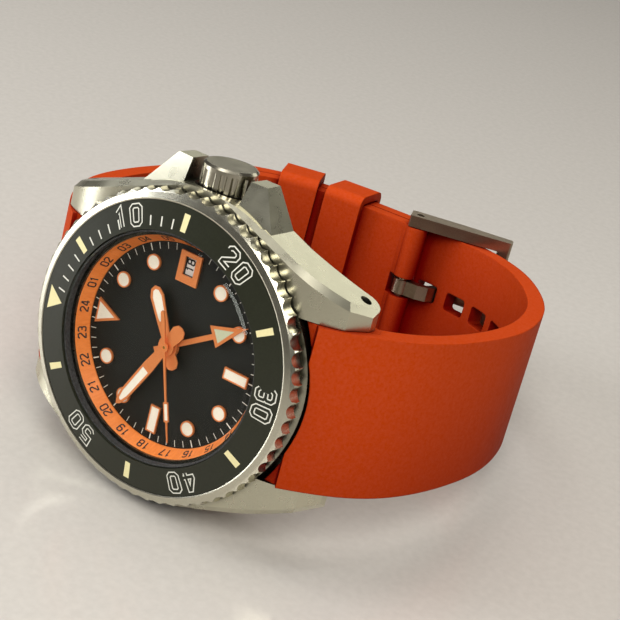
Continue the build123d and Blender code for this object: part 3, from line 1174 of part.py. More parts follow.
pieces = {
    "case_body": case_body,
    "caseback": caseback,
    "caseback_gasket": caseback_gasket,
    "crystal": crystal,
    "crystal_gasket": crystal_gasket,
    "bezel_ring": bezel_ring,
    "bezel_insert": bezel_insert,
    "bezel_gasket": bezel_gasket,
    "bezel_click_spring": bezel_click_spring,
    "chapter_ring": chapter_ring,
    "dial": dial,
    "date_window_frame": date_window_frame,
    "hour_markers": hour_markers,
    "hour_marker_fill": hour_marker_fill,
    "gmt_hand": gmt_hand,
    "hour_hand": hour_hand,
    "minute_hand": minute_hand,
    "seconds_hand": seconds_hand,
    "cannon_pinion": cannon_pinion,
    "minute_wheel": minute_wheel,
    "hour_wheel": hour_wheel,
    "gmt_intermediate_wheel": gmt_intermediate_wheel,
    "gmt_wheel": gmt_wheel,
    "date_ring": date_ring,
    "date_driving_wheel": date_driving_wheel,
    "main_plate": main_plate,
    "movement_holder": movement_holder,
    "jewels": jewels,
    "centre_wheel": centre_wheel,
    "third_wheel": third_wheel,
    "fourth_wheel": fourth_wheel,
    "escape_wheel": escape_wheel,
    "pallet_fork": pallet_fork,
    "pallet_bridge": pallet_bridge,
    "balance_wheel": balance_wheel,
    "hairspring": hairspring,
    "barrel_drum": barrel_drum,
    "mainspring": mainspring,
    "ratchet_wheel": ratchet_wheel,
    "crown_wheel": crown_wheel,
    "winding_pinion": winding_pinion,
    "barrel_bridge": barrel_bridge,
    "train_bridge": train_bridge,
    "balance_cock": balance_cock,
    "bridge_screws": bridge_screws,
    "rotor_bearing": rotor_bearing,
    "rotor": rotor,
    "crown": crown,
    "crown_gasket": crown_gasket,
    "crown_tube": crown_tube,
    "winding_stem": winding_stem,
    "lug_spring_bars": lug_spring_bars,
    "strap_buckle_half": strap_buckle_half,
    "strap_tail_half": strap_tail_half,
    "fixed_keeper": fixed_keeper,
    "free_keeper": free_keeper,
    "buckle_frame": buckle_frame,
    "buckle_bar": buckle_bar,
    "buckle_tongue": buckle_tongue,
}

turned = Plane(origin=(0, 0, 0), x_dir=REST_UP.cross(Vector(0, 0, 1)), z_dir=REST_UP)
boxes = [piece.part.moved(turned.location.inverse()).bounding_box() for piece in pieces.values()]
low = Vector(min(box.min.X for box in boxes), min(box.min.Y for box in boxes), min(box.min.Z for box in boxes))
high = Vector(max(box.max.X for box in boxes), max(box.max.Y for box in boxes), low.Z)
resting = Plane(origin=turned.from_local_coords((low + high) / 2), x_dir=turned.x_dir, z_dir=REST_UP)

os.makedirs("parts", exist_ok=True)
for name, piece in pieces.items():
    placed = piece.part.moved(resting.location.inverse())
    placed.label = name
    export_step(placed, f"parts/{name}.step")
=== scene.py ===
import math

import bpy
import numpy as np
from mathutils import Matrix, Vector


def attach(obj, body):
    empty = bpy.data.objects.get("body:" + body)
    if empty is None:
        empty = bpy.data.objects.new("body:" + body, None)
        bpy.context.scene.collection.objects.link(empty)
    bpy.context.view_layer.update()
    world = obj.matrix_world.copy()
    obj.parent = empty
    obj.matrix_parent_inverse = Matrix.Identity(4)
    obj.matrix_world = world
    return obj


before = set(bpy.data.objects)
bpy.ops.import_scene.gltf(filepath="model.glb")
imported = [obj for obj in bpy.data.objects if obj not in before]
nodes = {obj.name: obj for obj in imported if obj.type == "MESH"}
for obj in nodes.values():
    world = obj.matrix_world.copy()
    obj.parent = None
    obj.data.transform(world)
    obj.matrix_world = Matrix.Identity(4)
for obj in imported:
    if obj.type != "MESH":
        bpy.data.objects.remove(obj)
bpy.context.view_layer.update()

# ---------------------------------------------------------------- the watch's own frame
# Watch coordinates are millimetres: +X to 3 o'clock, +Y to 12 o'clock, +Z out of the dial.
WATCH_X = Vector((-0.0273178, 0.1548721, 0.9875568))
WATCH_Z = Vector((0.0, -0.9879255, 0.15493))
WATCH_Y = WATCH_Z.cross(WATCH_X)
WATCH_ORIGIN = Vector((0.0010577, -0.0336672, 0.0222455))
AXES = Matrix((WATCH_X, WATCH_Y, WATCH_Z)).transposed()
MM = 0.001


def place(p):
    """Watch coordinates in mm to the row frame in metres."""
    return WATCH_ORIGIN + AXES @ (Vector(p) * MM)


# ---------------------------------------------------------------- materials
def srgb(r, g, b):
    """Linear colour of a displayed 8-bit colour."""
    out = []
    for c in (r, g, b):
        c = c / 255
        out.append(c / 12.92 if c <= 0.04045 else ((c + 0.055) / 1.055) ** 2.4)
    return (*out, 1.0)


# colour sockets of a Mix node: their names are shared with its other modes, so they go by number
MIX_A = 6
MIX_B = 7
MIX_RESULT = 2


class Surface:
    """A Principled material whose patterns are laid out in watch coordinates."""

    def __init__(self, name, metallic=0.0):
        self.mat = bpy.data.materials.new(name)
        self.mat.use_nodes = True
        self.tree = self.mat.node_tree
        self.shader = self.tree.nodes["Principled BSDF"]
        self.shader.inputs["Metallic"].default_value = metallic
        coords = self.new("ShaderNodeTexCoord")
        self.space = self.new("ShaderNodeMapping")
        self.space.vector_type = "TEXTURE"
        self.space.inputs["Location"].default_value = WATCH_ORIGIN
        self.space.inputs["Rotation"].default_value = AXES.to_euler()
        self.space.inputs["Scale"].default_value = (MM, MM, MM)
        self.link(coords.outputs["Object"], self.space.inputs["Vector"])

    def new(self, kind):
        return self.tree.nodes.new(kind)

    def link(self, a, b):
        self.tree.links.new(a, b)

    def noise(self, scale, detail=4.0, stretch=None, rough=0.55):
        """Noise per mm; stretch scales the axes first."""
        vector = self.space.outputs["Vector"]
        if stretch:
            mapping = self.new("ShaderNodeMapping")
            mapping.inputs["Scale"].default_value = stretch
            self.link(vector, mapping.inputs["Vector"])
            vector = mapping.outputs["Vector"]
        node = self.new("ShaderNodeTexNoise")
        node.inputs["Scale"].default_value = scale
        node.inputs["Detail"].default_value = detail
        node.inputs["Roughness"].default_value = rough
        self.link(vector, node.inputs["Vector"])
        return node.outputs["Fac"]

    def polar_noise(self, around, outward):
        """Noise in (angle, radius, height) about the dial axis, for turned and sunburst grain."""
        split = self.new("ShaderNodeSeparateXYZ")
        self.link(self.space.outputs["Vector"], split.inputs["Vector"])
        angle = self.math("ARCTAN2", split.outputs["Y"], split.outputs["X"])
        square = self.math("ADD", self.math("MULTIPLY", split.outputs["X"], split.outputs["X"]),
                           self.math("MULTIPLY", split.outputs["Y"], split.outputs["Y"]))
        radius = self.math("SQRT", square)
        join = self.new("ShaderNodeCombineXYZ")
        self.link(self.math("MULTIPLY", angle, around), join.inputs["X"])
        self.link(self.math("MULTIPLY", radius, outward), join.inputs["Y"])
        self.link(split.outputs["Z"], join.inputs["Z"])
        node = self.new("ShaderNodeTexNoise")
        node.inputs["Scale"].default_value = 1.0
        node.inputs["Detail"].default_value = 3.0
        self.link(join.outputs["Vector"], node.inputs["Vector"])
        return node.outputs["Fac"]

    def math(self, operation, a, b=None):
        node = self.new("ShaderNodeMath")
        node.operation = operation
        for value, socket in ((a, node.inputs[0]), (b, node.inputs[1])):
            if value is None:
                continue
            if isinstance(value, (int, float)):
                socket.default_value = value
            else:
                self.link(value, socket)
        return node.outputs[0]

    def ramp(self, fac, stops, socket):
        """Colours or greys at places along a factor, into a shader's socket by name or a given one."""
        node = self.new("ShaderNodeValToRGB")
        elements = node.color_ramp.elements
        while len(elements) < len(stops):
            elements.new(0.5)
        for element, (position, colour) in zip(elements, stops):
            element.position = position
            element.color = colour if not isinstance(colour, float) else (colour, colour, colour, 1)
        self.link(fac, node.inputs["Fac"])
        if isinstance(socket, str):
            socket = self.shader.inputs[socket]
        self.link(node.outputs["Color"], socket)

    def shaded(self, reach, stops):
        """Painted shade: base colour multiplied by a tint that follows how closed in a place is within this
        many mm.
        """
        occlusion = self.new("ShaderNodeAmbientOcclusion")
        occlusion.samples = 8
        occlusion.inputs["Distance"].default_value = reach * MM
        mix = self.new("ShaderNodeMix")
        mix.data_type = "RGBA"
        mix.blend_type = "MULTIPLY"
        mix.inputs["Factor"].default_value = 1.0
        base = self.shader.inputs["Base Color"].links[0].from_socket
        self.link(base, mix.inputs[MIX_A])
        self.ramp(occlusion.outputs["AO"], stops, mix.inputs[MIX_B])
        self.link(mix.outputs[MIX_RESULT], self.shader.inputs["Base Color"])

    def relief(self, height, strength, distance, edges=0.0):
        """Bump from a height pattern, over edges rounded by this many mm in the shading."""
        bump = self.new("ShaderNodeBump")
        bump.inputs["Strength"].default_value = strength
        bump.inputs["Distance"].default_value = distance * MM
        self.link(height, bump.inputs["Height"])
        if edges:
            bevel = self.new("ShaderNodeBevel")
            bevel.samples = 8
            bevel.inputs["Radius"].default_value = edges * MM
            self.link(bevel.outputs["Normal"], bump.inputs["Normal"])
        self.link(bump.outputs["Normal"], self.shader.inputs["Normal"])


def mixed(a, b, t):
    return tuple(a[i] * (1 - t) + b[i] * t for i in range(3)) + (1.0,)


def steel(name, light, dark, rough, grain, strength=0.04, metallic=1.0, painted_shade_reach=0.0):
    """Metal with a grain given as the stretch of its noise, with painted shade darkening hollows narrower
    than this many mm.
    """
    s = Surface(name, metallic)
    streaks = s.noise(1.0, 5.0, grain, 0.7)
    s.ramp(streaks, [(0.25, dark), (0.75, light)], "Base Color")
    s.ramp(s.noise(0.5, 3.0), [(0.3, rough - 0.02), (0.7, rough + 0.03)], "Roughness")
    s.relief(streaks, strength, 0.003)
    if painted_shade_reach:
        # painted shade: closed-in places darkened, down to 5 per cent of the base colour
        s.shaded(painted_shade_reach, [(0.15, 0.05), (0.75, 1.0)])
    return s.mat


def painted(name, colour, rough, variation=0.12, scale=3.0, bump=0.06, edges=0.0, specular=0.5,
            painted_shade=None):
    """Paint, plastic or rubber with fine mottling, and painted shade in closed-in places when a reach and
    tint stops are given.
    """
    s = Surface(name)
    grain = s.noise(scale, 6.0, None, 0.65)
    darker = mixed(colour, (0, 0, 0, 1), variation)
    lighter = mixed(colour, (1, 1, 1, 1), variation * 0.35)
    s.ramp(grain, [(0.3, darker), (0.7, lighter)], "Base Color")
    smoothest = max(0.05, rough - 0.06)
    roughest = min(1.0, rough + 0.06)
    s.ramp(s.noise(scale * 0.4, 3.0), [(0.3, smoothest), (0.7, roughest)], "Roughness")
    s.shader.inputs["Specular IOR Level"].default_value = specular
    s.relief(s.noise(scale * 6, 3.0), bump, 0.05, edges)
    if painted_shade:
        # painted shade: base colour darkened where the surface is closed in
        s.shaded(*painted_shade)
    return s.mat


# painted shade darkens the case's hollows within 3 mm, such as round the crown
brushed_case = steel("case_steel", srgb(210, 207, 186), srgb(190, 187, 166), 0.28, (16.0, 0.35, 16.0),
                     strength=0.0, painted_shade_reach=3.0)
polished = steel("polished_steel", srgb(220, 216, 203), srgb(200, 196, 184), 0.13, (3.0, 3.0, 3.0),
                 strength=0.03)
# painted shade darkens the bezel's hollows within 0.8 mm, such as between its scallops
bezel_steel = steel("bezel_steel", srgb(206, 203, 186), srgb(190, 187, 170), 0.24, (5.0, 5.0, 9.0),
                    painted_shade_reach=0.8)
crown_steel = steel("crown_steel", srgb(200, 195, 178), srgb(178, 173, 156), 0.2, (0.6, 14.0, 14.0))
buckle_steel = steel("buckle_steel", srgb(172, 156, 136), srgb(140, 124, 106), 0.3, (12.0, 0.5, 12.0),
                     strength=0.08)
movement_steel = steel("movement_steel", srgb(198, 196, 190), srgb(168, 166, 160), 0.25, (8.0, 0.8, 2.0))
gilt = steel("gilt_brass", srgb(205, 170, 95), srgb(168, 134, 70), 0.25, (5.0, 5.0, 5.0))
spring_steel = steel("spring_steel", srgb(160, 160, 165), srgb(120, 120, 128), 0.25, (0.6, 8.0, 8.0))
copper = steel("copper", srgb(240, 150, 88), srgb(226, 132, 72), 0.42, (6.0, 6.0, 2.0),
               strength=0.03, metallic=0.6)
lume = painted("lume", srgb(240, 232, 212), 0.6, 0.06, 4.0, 0.10)
lume_yellow = painted("lume_yellow", srgb(236, 226, 170), 0.55, 0.07, 4.0, 0.10)
lume_green = painted("lume_green", srgb(190, 194, 160), 0.55, 0.08, 4.0, 0.10)
white_ink = painted("white_ink", srgb(226, 226, 214), 0.55, 0.08, 5.0, 0.03)
black_ink = painted("black_ink", srgb(12, 9, 7), 0.6, 0.15, 5.0, 0.03, specular=0.2)
date_white = painted("date_white", srgb(244, 243, 238), 0.5, 0.03, 3.0, 0.03)
gasket = painted("gasket_rubber", srgb(26, 26, 27), 0.6, 0.2, 3.0, 0.15)
holder_plastic = painted("holder_plastic", srgb(214, 210, 200), 0.55, 0.06, 2.0, 0.08)
ruby = painted("ruby", srgb(150, 14, 46), 0.12, 0.2, 2.0, 0.01)
# painted shade: the inside of the strap loop, about 45 mm wide, is tinted a deeper red than the outside where
# the loop closes in on it
strap_rubber = painted("strap_rubber", srgb(190, 62, 0), 0.6, 0.05, 2.2, 0.03, 0.3, specular=0.03,
                       painted_shade=(45.0, [(0.35, srgb(150, 20, 0)), (0.85, srgb(255, 255, 255))]))

insert_mat = Surface("insert_black")
insert_grain = insert_mat.polar_noise(60.0, 3.0)
insert_mat.ramp(insert_grain, [(0.2, srgb(33, 35, 24)), (0.8, srgb(40, 42, 30))], "Base Color")
insert_mat.ramp(insert_mat.noise(1.2), [(0.3, 0.30), (0.7, 0.34)], "Roughness")
insert_mat.shader.inputs["Specular IOR Level"].default_value = 0.35
insert_mat.relief(insert_grain, 0.02, 0.004)
insert_black = insert_mat.mat

dial_mat = Surface("dial_black")
dial_grain = dial_mat.polar_noise(40.0, 0.4)
dial_mat.ramp(dial_grain, [(0.3, srgb(16, 18, 14)), (0.7, srgb(25, 27, 21))], "Base Color")
dial_mat.shader.inputs["Specular IOR Level"].default_value = 0.25
dial_mat.ramp(dial_mat.noise(6.0), [(0.3, 0.42), (0.7, 0.55)], "Roughness")
dial_mat.relief(dial_mat.noise(20.0), 0.08, 0.03)
dial_black = dial_mat.mat

chapter_mat = Surface("chapter_orange", 0.1)
chapter_grain = chapter_mat.polar_noise(50.0, 0.6)
chapter_mat.ramp(chapter_grain, [(0.25, srgb(226, 122, 48)), (0.75, srgb(240, 140, 64))], "Base Color")
chapter_mat.ramp(chapter_mat.noise(2.0), [(0.3, 0.34), (0.7, 0.46)], "Roughness")
chapter_mat.relief(chapter_grain, 0.06, 0.03)
chapter_orange = chapter_mat.mat


CRYSTAL_EDGE_R = 14.62


def crystal_material():
    """Clear sapphire: see-through, with a slightly tinted mirrored share on its outward side."""
    s = Surface("sapphire")
    out = s.tree.nodes["Material Output"]
    s.tree.nodes.remove(s.shader)
    clear = s.new("ShaderNodeBsdfTransparent")
    shine = s.new("ShaderNodeBsdfGlossy")
    s.ramp(s.noise(0.4), [(0.3, srgb(196, 204, 200)), (0.7, srgb(214, 220, 216))], shine.inputs["Color"])
    shine.inputs["Roughness"].default_value = 0.03
    fresnel = s.new("ShaderNodeFresnel")
    fresnel.inputs["IOR"].default_value = 1.22
    split = s.new("ShaderNodeSeparateXYZ")
    s.link(s.space.outputs["Vector"], split.inputs["Vector"])
    radius = s.math("SQRT", s.math("ADD", s.math("MULTIPLY", split.outputs["X"], split.outputs["X"]),
                                   s.math("MULTIPLY", split.outputs["Y"], split.outputs["Y"])))
    rim = s.math("MULTIPLY", s.math("GREATER_THAN", radius, CRYSTAL_EDGE_R), 0.03)
    share = s.math("MAXIMUM", s.math("MULTIPLY", fresnel.outputs["Fac"], 0.6), rim)
    outer = s.math("SUBTRACT", 1.0, s.new("ShaderNodeNewGeometry").outputs["Backfacing"])
    mix = s.new("ShaderNodeMixShader")
    s.link(s.math("MULTIPLY", share, outer), mix.inputs[0])
    s.link(clear.outputs[0], mix.inputs[1])
    s.link(shine.outputs[0], mix.inputs[2])
    s.link(mix.outputs[0], out.inputs["Surface"])
    return s.mat


sapphire = crystal_material()

FINISH = {
    brushed_case: ("case_body", "caseback"),
    polished: ("crown_tube",),
    bezel_steel: ("bezel_ring",),
    insert_black: ("bezel_insert",),
    sapphire: ("crystal",),
    gasket: ("caseback_gasket", "crystal_gasket", "bezel_gasket", "crown_gasket"),
    spring_steel: ("bezel_click_spring", "hairspring", "mainspring", "lug_spring_bars"),
    chapter_orange: ("chapter_ring",),
    dial_black: ("dial",),
    copper: ("date_window_frame", "hour_markers", "gmt_hand", "hour_hand", "minute_hand", "seconds_hand"),
    lume: ("hour_marker_fill",),
    gilt: ("minute_wheel", "hour_wheel", "gmt_intermediate_wheel", "gmt_wheel", "date_driving_wheel",
           "centre_wheel", "third_wheel", "fourth_wheel", "balance_wheel", "barrel_drum"),
    movement_steel: ("cannon_pinion", "main_plate", "escape_wheel", "pallet_fork", "pallet_bridge",
                     "ratchet_wheel", "crown_wheel", "winding_pinion", "barrel_bridge", "train_bridge",
                     "balance_cock", "bridge_screws", "rotor_bearing", "rotor", "winding_stem"),
    date_white: ("date_ring",),
    holder_plastic: ("movement_holder",),
    ruby: ("jewels",),
    crown_steel: ("crown",),
    buckle_steel: ("buckle_frame", "buckle_bar", "buckle_tongue"),
    strap_rubber: ("strap_buckle_half", "strap_tail_half", "fixed_keeper", "free_keeper"),
}
for material, names in FINISH.items():
    for name in names:
        nodes[name].data.materials.clear()
        nodes[name].data.materials.append(material)


# ---------------------------------------------------------------- printed and filled details
def piece(name, vertices, faces, material, body):
    """A mesh given in watch coordinates that rides on a body."""
    mesh = bpy.data.meshes.new(name)
    mesh.from_pydata([place(v) for v in vertices], [], faces)
    mesh.materials.append(material)
    mesh.update()
    obj = bpy.data.objects.new(name, mesh)
    bpy.context.scene.collection.objects.link(obj)
    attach(obj, body)


def stroke(points, width, closed=False):
    """Mitred strip along a polyline: (vertices, quads) in the flat."""
    pts = [np.array(p, float) for p in points]
    n = len(pts)
    left, right = [], []
    for i in range(n):
        before = pts[i] - pts[i - 1] if (i > 0 or closed) else pts[1] - pts[0]
        after = pts[(i + 1) % n] - pts[i] if (i < n - 1 or closed) else pts[-1] - pts[-2]
        a = np.array((-before[1], before[0])) / np.linalg.norm(before)
        b = np.array((-after[1], after[0])) / np.linalg.norm(after)
        m = a + b
        m = m / np.linalg.norm(m)
        reach = width / 2 / max(0.5, float(m @ a))
        left.append(pts[i] + m * reach)
        right.append(pts[i] - m * reach)
    quads = [(i, i + n, (i + 1) % n + n, (i + 1) % n) for i in range(n if closed else n - 1)]
    return left + right, quads


# Digits as strokes in a box WIDE wide and 1 high. Corners are cut by CUT, up to K across and TOP upward.
WIDE = 0.6
CUT = 0.13
K = WIDE - CUT
TOP = 1 - CUT
DIGITS = {
    "0": [([(CUT, 0), (K, 0), (WIDE, CUT), (WIDE, TOP), (K, 1), (CUT, 1), (0, TOP), (0, CUT)], True)],
    "1": [([(0.1, 0.8), (0.32, 1.0), (0.32, 0)], False)],
    "2": [([(0, 0.8), (0, TOP), (CUT, 1), (K, 1), (WIDE, TOP), (WIDE, 0.66), (0.02, 0.12), (0.02, 0),
            (0.62, 0)], False)],
    "3": [([(0, TOP), (CUT, 1), (K, 1), (WIDE, TOP), (WIDE, 0.62), (0.5, 0.52), (0.2, 0.52)], False),
          ([(0.5, 0.52), (WIDE, 0.42), (WIDE, CUT), (K, 0), (CUT, 0), (0, CUT)], False)],
    "4": [([(0.44, 0), (0.44, 1), (0.36, 1), (0, 0.36), (0, 0.26), (0.64, 0.26)], False)],
    "5": [([(0.58, 1), (0.03, 1), (0.03, 0.58), (K, 0.58), (WIDE, 0.46), (WIDE, CUT), (K, 0), (CUT, 0),
            (0, CUT)], False)],
    "6": [([(0.58, TOP), (K, 1), (CUT, 1), (0, TOP), (0, CUT), (CUT, 0), (K, 0), (WIDE, CUT), (WIDE, 0.44),
            (K, 0.56), (0.02, 0.56)], False)],
    "7": [([(0, 1), (WIDE, 1), (WIDE, 0.9), (0.22, 0)], False)],
    "8": [([(CUT, 0), (K, 0), (WIDE, CUT), (WIDE, 0.42), (K, 0.52), (CUT, 0.52), (0, 0.42), (0, CUT)], True),
          ([(CUT, 0.52), (K, 0.52), (0.58, 0.62), (0.58, TOP), (K, 1), (CUT, 1), (0.02, TOP),
            (0.02, 0.62)], True)],
    "9": [([(0.02, CUT), (CUT, 0), (K, 0), (WIDE, CUT), (WIDE, TOP), (K, 1), (CUT, 1), (0, TOP), (0, 0.56),
            (CUT, 0.44), (0.58, 0.44)], False)],
}


def number(text, height, width, spacing=0.85, aspect=1.0):
    """Strips of a number centred on the origin of its own flat."""
    vertices, faces = [], []
    total = (len(text) - 1) * spacing + WIDE
    for index, digit in enumerate(text):
        shift = index * spacing - total / 2
        for points, closed in DIGITS[digit]:
            moved = [((x + shift) * height * aspect, (y - 0.5) * height) for x, y in points]
            v, f = stroke(moved, width, closed)
            faces += [tuple(k + len(vertices) for k in q) for q in f]
            vertices += v
    return vertices, faces


def on_ring(flat, clock, radius, height_at, rise):
    """Wrap flat points about the dial axis: x runs clockwise, y outward, and height_at gives the surface."""
    out = []
    for x, y in flat:
        r = radius + y
        a = math.radians(clock) + x / radius
        out.append((r * math.sin(a), r * math.cos(a), height_at(r) + rise))
    return out


class Print:
    """Collects flat figures into one mesh."""

    def __init__(self):
        self.vertices, self.faces = [], []

    def add(self, vertices, faces):
        base = len(self.vertices)
        self.vertices += vertices
        self.faces += [tuple(k + base for k in f) for f in faces]

    def make(self, name, material, body):
        piece(name, self.vertices, self.faces, material, body)


def bar(length, width):
    """Rectangle centred on the origin, its length along the outward direction."""
    vertices = [(x, y) for x in (-width / 2, width / 2) for y in (-length / 2, length / 2)]
    return vertices, [(0, 2, 3, 1)]


def solid_plate(outline, top, thickness):
    """Closed plate from an outline of (x, y) points."""
    n = len(outline)
    vertices = [(x, y, top) for x, y in outline] + [(x, y, top - thickness) for x, y in outline]
    faces = [tuple(range(n)), tuple(range(2 * n - 1, n - 1, -1))]
    faces += [(i, i + n, (i + 1) % n + n, (i + 1) % n) for i in range(n)]
    return vertices, faces


# ---- bezel insert: a cone from its outer edge, at height 0, up to its inner edge
INSERT_OUTER_R = 19.0
INSERT_INNER_R = 15.3
INSERT_RISE = 0.55
FILL_RISE = 0.03
OUTLINE_RISE = 0.02
CORE_RISE = 0.04
BEZEL_FIGURE = 2.3
BEZEL_BAR_WIDTH = 0.85
BEZEL_BAR_R = 17.1
BEZEL_TRIANGLE_R = 17.2
BEZEL_NUMBER_R = 17.15
OUTLINE_WIDTH = 0.68
CORE_WIDTH = 0.36
BEZEL_TICK = (1.25, 0.2)
BEZEL_TICK_R = 16.45
DEGREES_PER_MINUTE = 6


def insert_height(r):
    return (INSERT_OUTER_R - r) * INSERT_RISE / (INSERT_OUTER_R - INSERT_INNER_R)


lume_marks = Print()
outlines = Print()
cores = Print()
ticks = Print()
for minute in (5, 15, 25, 35, 45, 55):
    v, f = bar(BEZEL_FIGURE, BEZEL_BAR_WIDTH)
    lume_marks.add(on_ring(v, minute * DEGREES_PER_MINUTE, BEZEL_BAR_R, insert_height, FILL_RISE), f)
TRIANGLE = [(-1.55, 1.25), (1.55, 1.25), (0.0, -1.35)]
lume_marks.add(on_ring(TRIANGLE, 0, BEZEL_TRIANGLE_R, insert_height, FILL_RISE), [(0, 2, 1)])
for minute in (10, 20, 30, 40, 50):
    for layer, width, rise in ((outlines, OUTLINE_WIDTH, OUTLINE_RISE), (cores, CORE_WIDTH, CORE_RISE)):
        v, f = number(str(minute), BEZEL_FIGURE, width, spacing=1.08)
        layer.add(on_ring(v, minute * DEGREES_PER_MINUTE, BEZEL_NUMBER_R, insert_height, rise), f)
for minute in range(1, 15):
    if minute not in (5, 10):
        v, f = bar(*BEZEL_TICK)
        ticks.add(on_ring(v, minute * DEGREES_PER_MINUTE, BEZEL_TICK_R, insert_height, OUTLINE_RISE), f)
lume_marks.make("bezel_lume_marks", lume_yellow, "bezel")
outlines.make("bezel_numeral_outlines", white_ink, "bezel")
cores.make("bezel_numeral_cores", insert_black, "bezel")
ticks.make("bezel_minute_ticks", white_ink, "bezel")

# ---- orange ring: a cone, given by the radius and height of its face's middle and by its run and rise
CHAPTER_MIDDLE_R = 14.0
CHAPTER_MIDDLE_Z = -2.05
CHAPTER_RUN = 1.0
CHAPTER_RISE = 1.7
INWARD = 0.02
PROUD = 0.012
DEGREES_PER_HOUR = 15


def chapter_point(clock, x, y):
    """Point just off the sloping face: x clockwise, y up the slope from its middle, in mm."""
    slope = math.hypot(CHAPTER_RUN, CHAPTER_RISE)
    r = CHAPTER_MIDDLE_R + y * CHAPTER_RUN / slope - INWARD
    z = CHAPTER_MIDDLE_Z + y * CHAPTER_RISE / slope + PROUD
    a = math.radians(clock) + x / r
    return (r * math.sin(a), r * math.cos(a), z)


hours = Print()
for hour in range(1, 25):
    v, f = number(f"{hour:02d}", height=1.06, width=0.19, spacing=0.86, aspect=0.95)
    hours.add([chapter_point(hour * DEGREES_PER_HOUR, x, y) for x, y in v], f)
hours.make("chapter_numerals", black_ink, "case")

# ---- dial: minute ticks, longer and wider at the hours, with a gap for the date window
DIAL_Z = -3.1
DATE_GAP = (14, 15, 16)
HOUR_TICK = (0.95, 0.16)
MINUTE_TICK = (0.85, 0.09)
DIAL_TICK_R = 12.9
DIAL_INK_RISE = 0.008


def dial_height(r):
    return DIAL_Z


dial_ticks = Print()
for minute in range(60):
    if minute in DATE_GAP:
        continue
    at_hour = minute % 5 == 0
    v, f = bar(*(HOUR_TICK if at_hour else MINUTE_TICK))
    dial_ticks.add(on_ring(v, minute * DEGREES_PER_MINUTE, DIAL_TICK_R, dial_height, DIAL_INK_RISE), f)
dial_ticks.make("dial_minute_ticks", white_ink, "case")

# ---- date: the numbers of the month round the date ring
SHOWN_DAY = 18
DAYS = 31
DATE_R = 10.85
DATE_LIFT = 0.3
DATE_Z = -3.548
dates = Print()
for day in range(1, DAYS + 1):
    turn = math.radians((day - SHOWN_DAY) * 360 / DAYS)
    v, f = number(str(day), height=1.08, width=0.21, spacing=0.9, aspect=0.95)
    placed = []
    for x, y in v:
        px = DATE_R + x
        py = DATE_LIFT + y
        across = px * math.cos(turn) - py * math.sin(turn)
        along = px * math.sin(turn) + py * math.cos(turn)
        placed.append((across, along, DATE_Z))
    dates.add(placed, f)
dates.make("date_numbers", black_ink, "date")


# ---- luminous filling of the hands
FILL_SUNK = 0.03
FILL_THICKNESS = 0.12


def hand_fill(name, clock, outline, z, material, body):
    """A plate in a hand's slot. The outline is given as (half width, distance) down one side."""
    points = [(w, d) for w, d in outline] + [(-w, d) for w, d in reversed(outline) if w > 0]
    a = math.radians(clock)
    turned = [(x * math.cos(a) + y * math.sin(a), -x * math.sin(a) + y * math.cos(a)) for x, y in points]
    v, f = solid_plate(turned, z - FILL_SUNK, FILL_THICKNESS)
    piece(name, v, f, material, body)


HOUR_OUTLINE = [(0.42, 3.3), (0.58, 3.9), (0.74, 6.5), (0.44, 7.3), (0, 7.5)]
MINUTE_OUTLINE = [(0.54, 4.7), (0.48, 9.6), (0.24, 10.8), (0, 11.0)]
SECONDS_OUTLINE = [(0.24, 7.35), (0.24, 9.5)]
GMT_OUTLINE = [(0.95, 7.55), (0, 10.5)]
# clock angles in degrees at which the hands stand in the frame
HOUR_ANGLE = 59.5
MINUTE_ANGLE = 298.0
SECONDS_ANGLE = 252.0
GMT_ANGLE = 147.5
hand_fill("hour_hand_lume", HOUR_ANGLE, HOUR_OUTLINE, -2.22, lume, "hours")
hand_fill("minute_hand_lume", MINUTE_ANGLE, MINUTE_OUTLINE, -1.82, lume, "minutes")
hand_fill("seconds_hand_lume", SECONDS_ANGLE, SECONDS_OUTLINE, -1.42, lume, "seconds")
hand_fill("gmt_hand_lume", GMT_ANGLE, GMT_OUTLINE, -2.62, lume_green, "gmt")

# ---------------------------------------------------------------- camera
CAMERA_AT = (71.20, -102.25, 152.06)
CAMERA_RIGHT = Vector((0.24686, -0.80955, -0.53263))
CAMERA_UP = Vector((0.91598, 0.37433, -0.14441))
CAMERA_BACK = Vector((0.31629, -0.45223, 0.83394))
SENSOR_WIDTH = 36.0
LENS = 89.9
NEAREST = 0.005
FARTHEST = 20.0
camera_data = bpy.data.cameras.new("camera")
camera_data.sensor_width = SENSOR_WIDTH
camera_data.lens = LENS
camera_data.clip_start = NEAREST
camera_data.clip_end = FARTHEST
camera = bpy.data.objects.new("camera", camera_data)
bpy.context.scene.collection.objects.link(camera)
rotation = AXES @ Matrix((CAMERA_RIGHT, CAMERA_UP, CAMERA_BACK)).transposed()
camera.matrix_world = Matrix.Translation(place(CAMERA_AT)) @ rotation.to_4x4()
bpy.context.scene.camera = camera

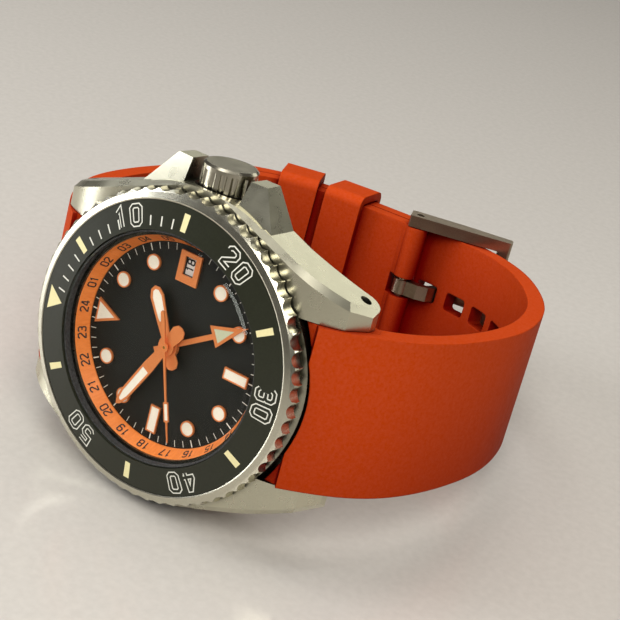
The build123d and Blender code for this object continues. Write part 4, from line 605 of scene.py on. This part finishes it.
# ---------------------------------------------------------------- floor
HALF_FLOOR = 3.0
corners = [(-HALF_FLOOR, -HALF_FLOOR, 0), (HALF_FLOOR, -HALF_FLOOR, 0), (HALF_FLOOR, HALF_FLOOR, 0),
           (-HALF_FLOOR, HALF_FLOOR, 0)]
floor_mesh = bpy.data.meshes.new("floor")
floor_mesh.from_pydata(corners, [], [(0, 1, 2, 3)])
floor = bpy.data.objects.new("floor", floor_mesh)
bpy.context.scene.collection.objects.link(floor)
floor_look = bpy.data.materials.new("floor")
floor_look.use_nodes = True
floor_tree = floor_look.node_tree
floor_shader = floor_tree.nodes["Principled BSDF"]
floor_coords = floor_tree.nodes.new("ShaderNodeTexCoord")
floor_noise = floor_tree.nodes.new("ShaderNodeTexNoise")
floor_noise.inputs["Scale"].default_value = 900.0
floor_ramp = floor_tree.nodes.new("ShaderNodeValToRGB")
for stop, place_on_ramp, colour in zip(floor_ramp.color_ramp.elements, (0.3, 0.7),
                                       (srgb(196, 192, 186), srgb(202, 198, 192))):
    stop.position = place_on_ramp
    stop.color = colour
floor_tree.links.new(floor_coords.outputs["Object"], floor_noise.inputs["Vector"])
floor_tree.links.new(floor_noise.outputs["Fac"], floor_ramp.inputs["Fac"])
floor_tree.links.new(floor_ramp.outputs["Color"], floor_shader.inputs["Base Color"])
floor_shader.inputs["Roughness"].default_value = 0.16
floor_mesh.materials.append(floor_look)

# ---------------------------------------------------------------- light
world = bpy.data.worlds.new("world")
world.use_nodes = True
background = world.node_tree.nodes["Background"]
background.inputs["Color"].default_value = srgb(150, 146, 140)
background.inputs["Strength"].default_value = 0.3
bpy.context.scene.world = world

AIM = Vector((0.0, 0.0, 0.02))
WARM = (1.0, 0.97, 0.92)
COOL = (0.97, 0.98, 1.0)


def softbox(name, position, width, height, watts, colour):
    """An area light that faces the watch."""
    data = bpy.data.lights.new(name, "AREA")
    data.shape = "RECTANGLE"
    data.size = width
    data.size_y = height
    data.energy = watts
    data.color = colour
    light = bpy.data.objects.new(name, data)
    light.location = position
    light.rotation_mode = "QUATERNION"
    light.rotation_quaternion = (AIM - Vector(position)).to_track_quat("-Z", "Y")
    bpy.context.scene.collection.objects.link(light)
    return light


softbox("key", (0.25, -0.35, 0.45), 0.35, 0.35, 3.1, WARM)
softbox("top", (-0.10, 0.10, 0.55), 0.50, 0.40, 1.8, WARM)
softbox("left", (-0.50, -0.25, 0.20), 0.25, 0.40, 2.5, COOL)
# two cards that light only the outer metal
outer_metal = bpy.data.collections.new("outer metal")
for name in ("case_body", "bezel_ring", "crown", "caseback", "buckle_frame", "buckle_bar", "buckle_tongue"):
    outer_metal.objects.link(nodes[name])
back_card = softbox("back card", (-0.15, 0.75, 0.34), 0.90, 0.30, 1.1, (1.0, 0.99, 0.86))
right_card = softbox("right card", (0.60, 0.35, 0.22), 0.35, 0.35, 1.2, (1.0, 0.98, 0.88))
for card in (back_card, right_card):
    card.light_linking.receiver_collection = outer_metal

bpy.context.scene.view_settings.view_transform = "Standard"
bpy.context.scene.view_settings.look = "None"
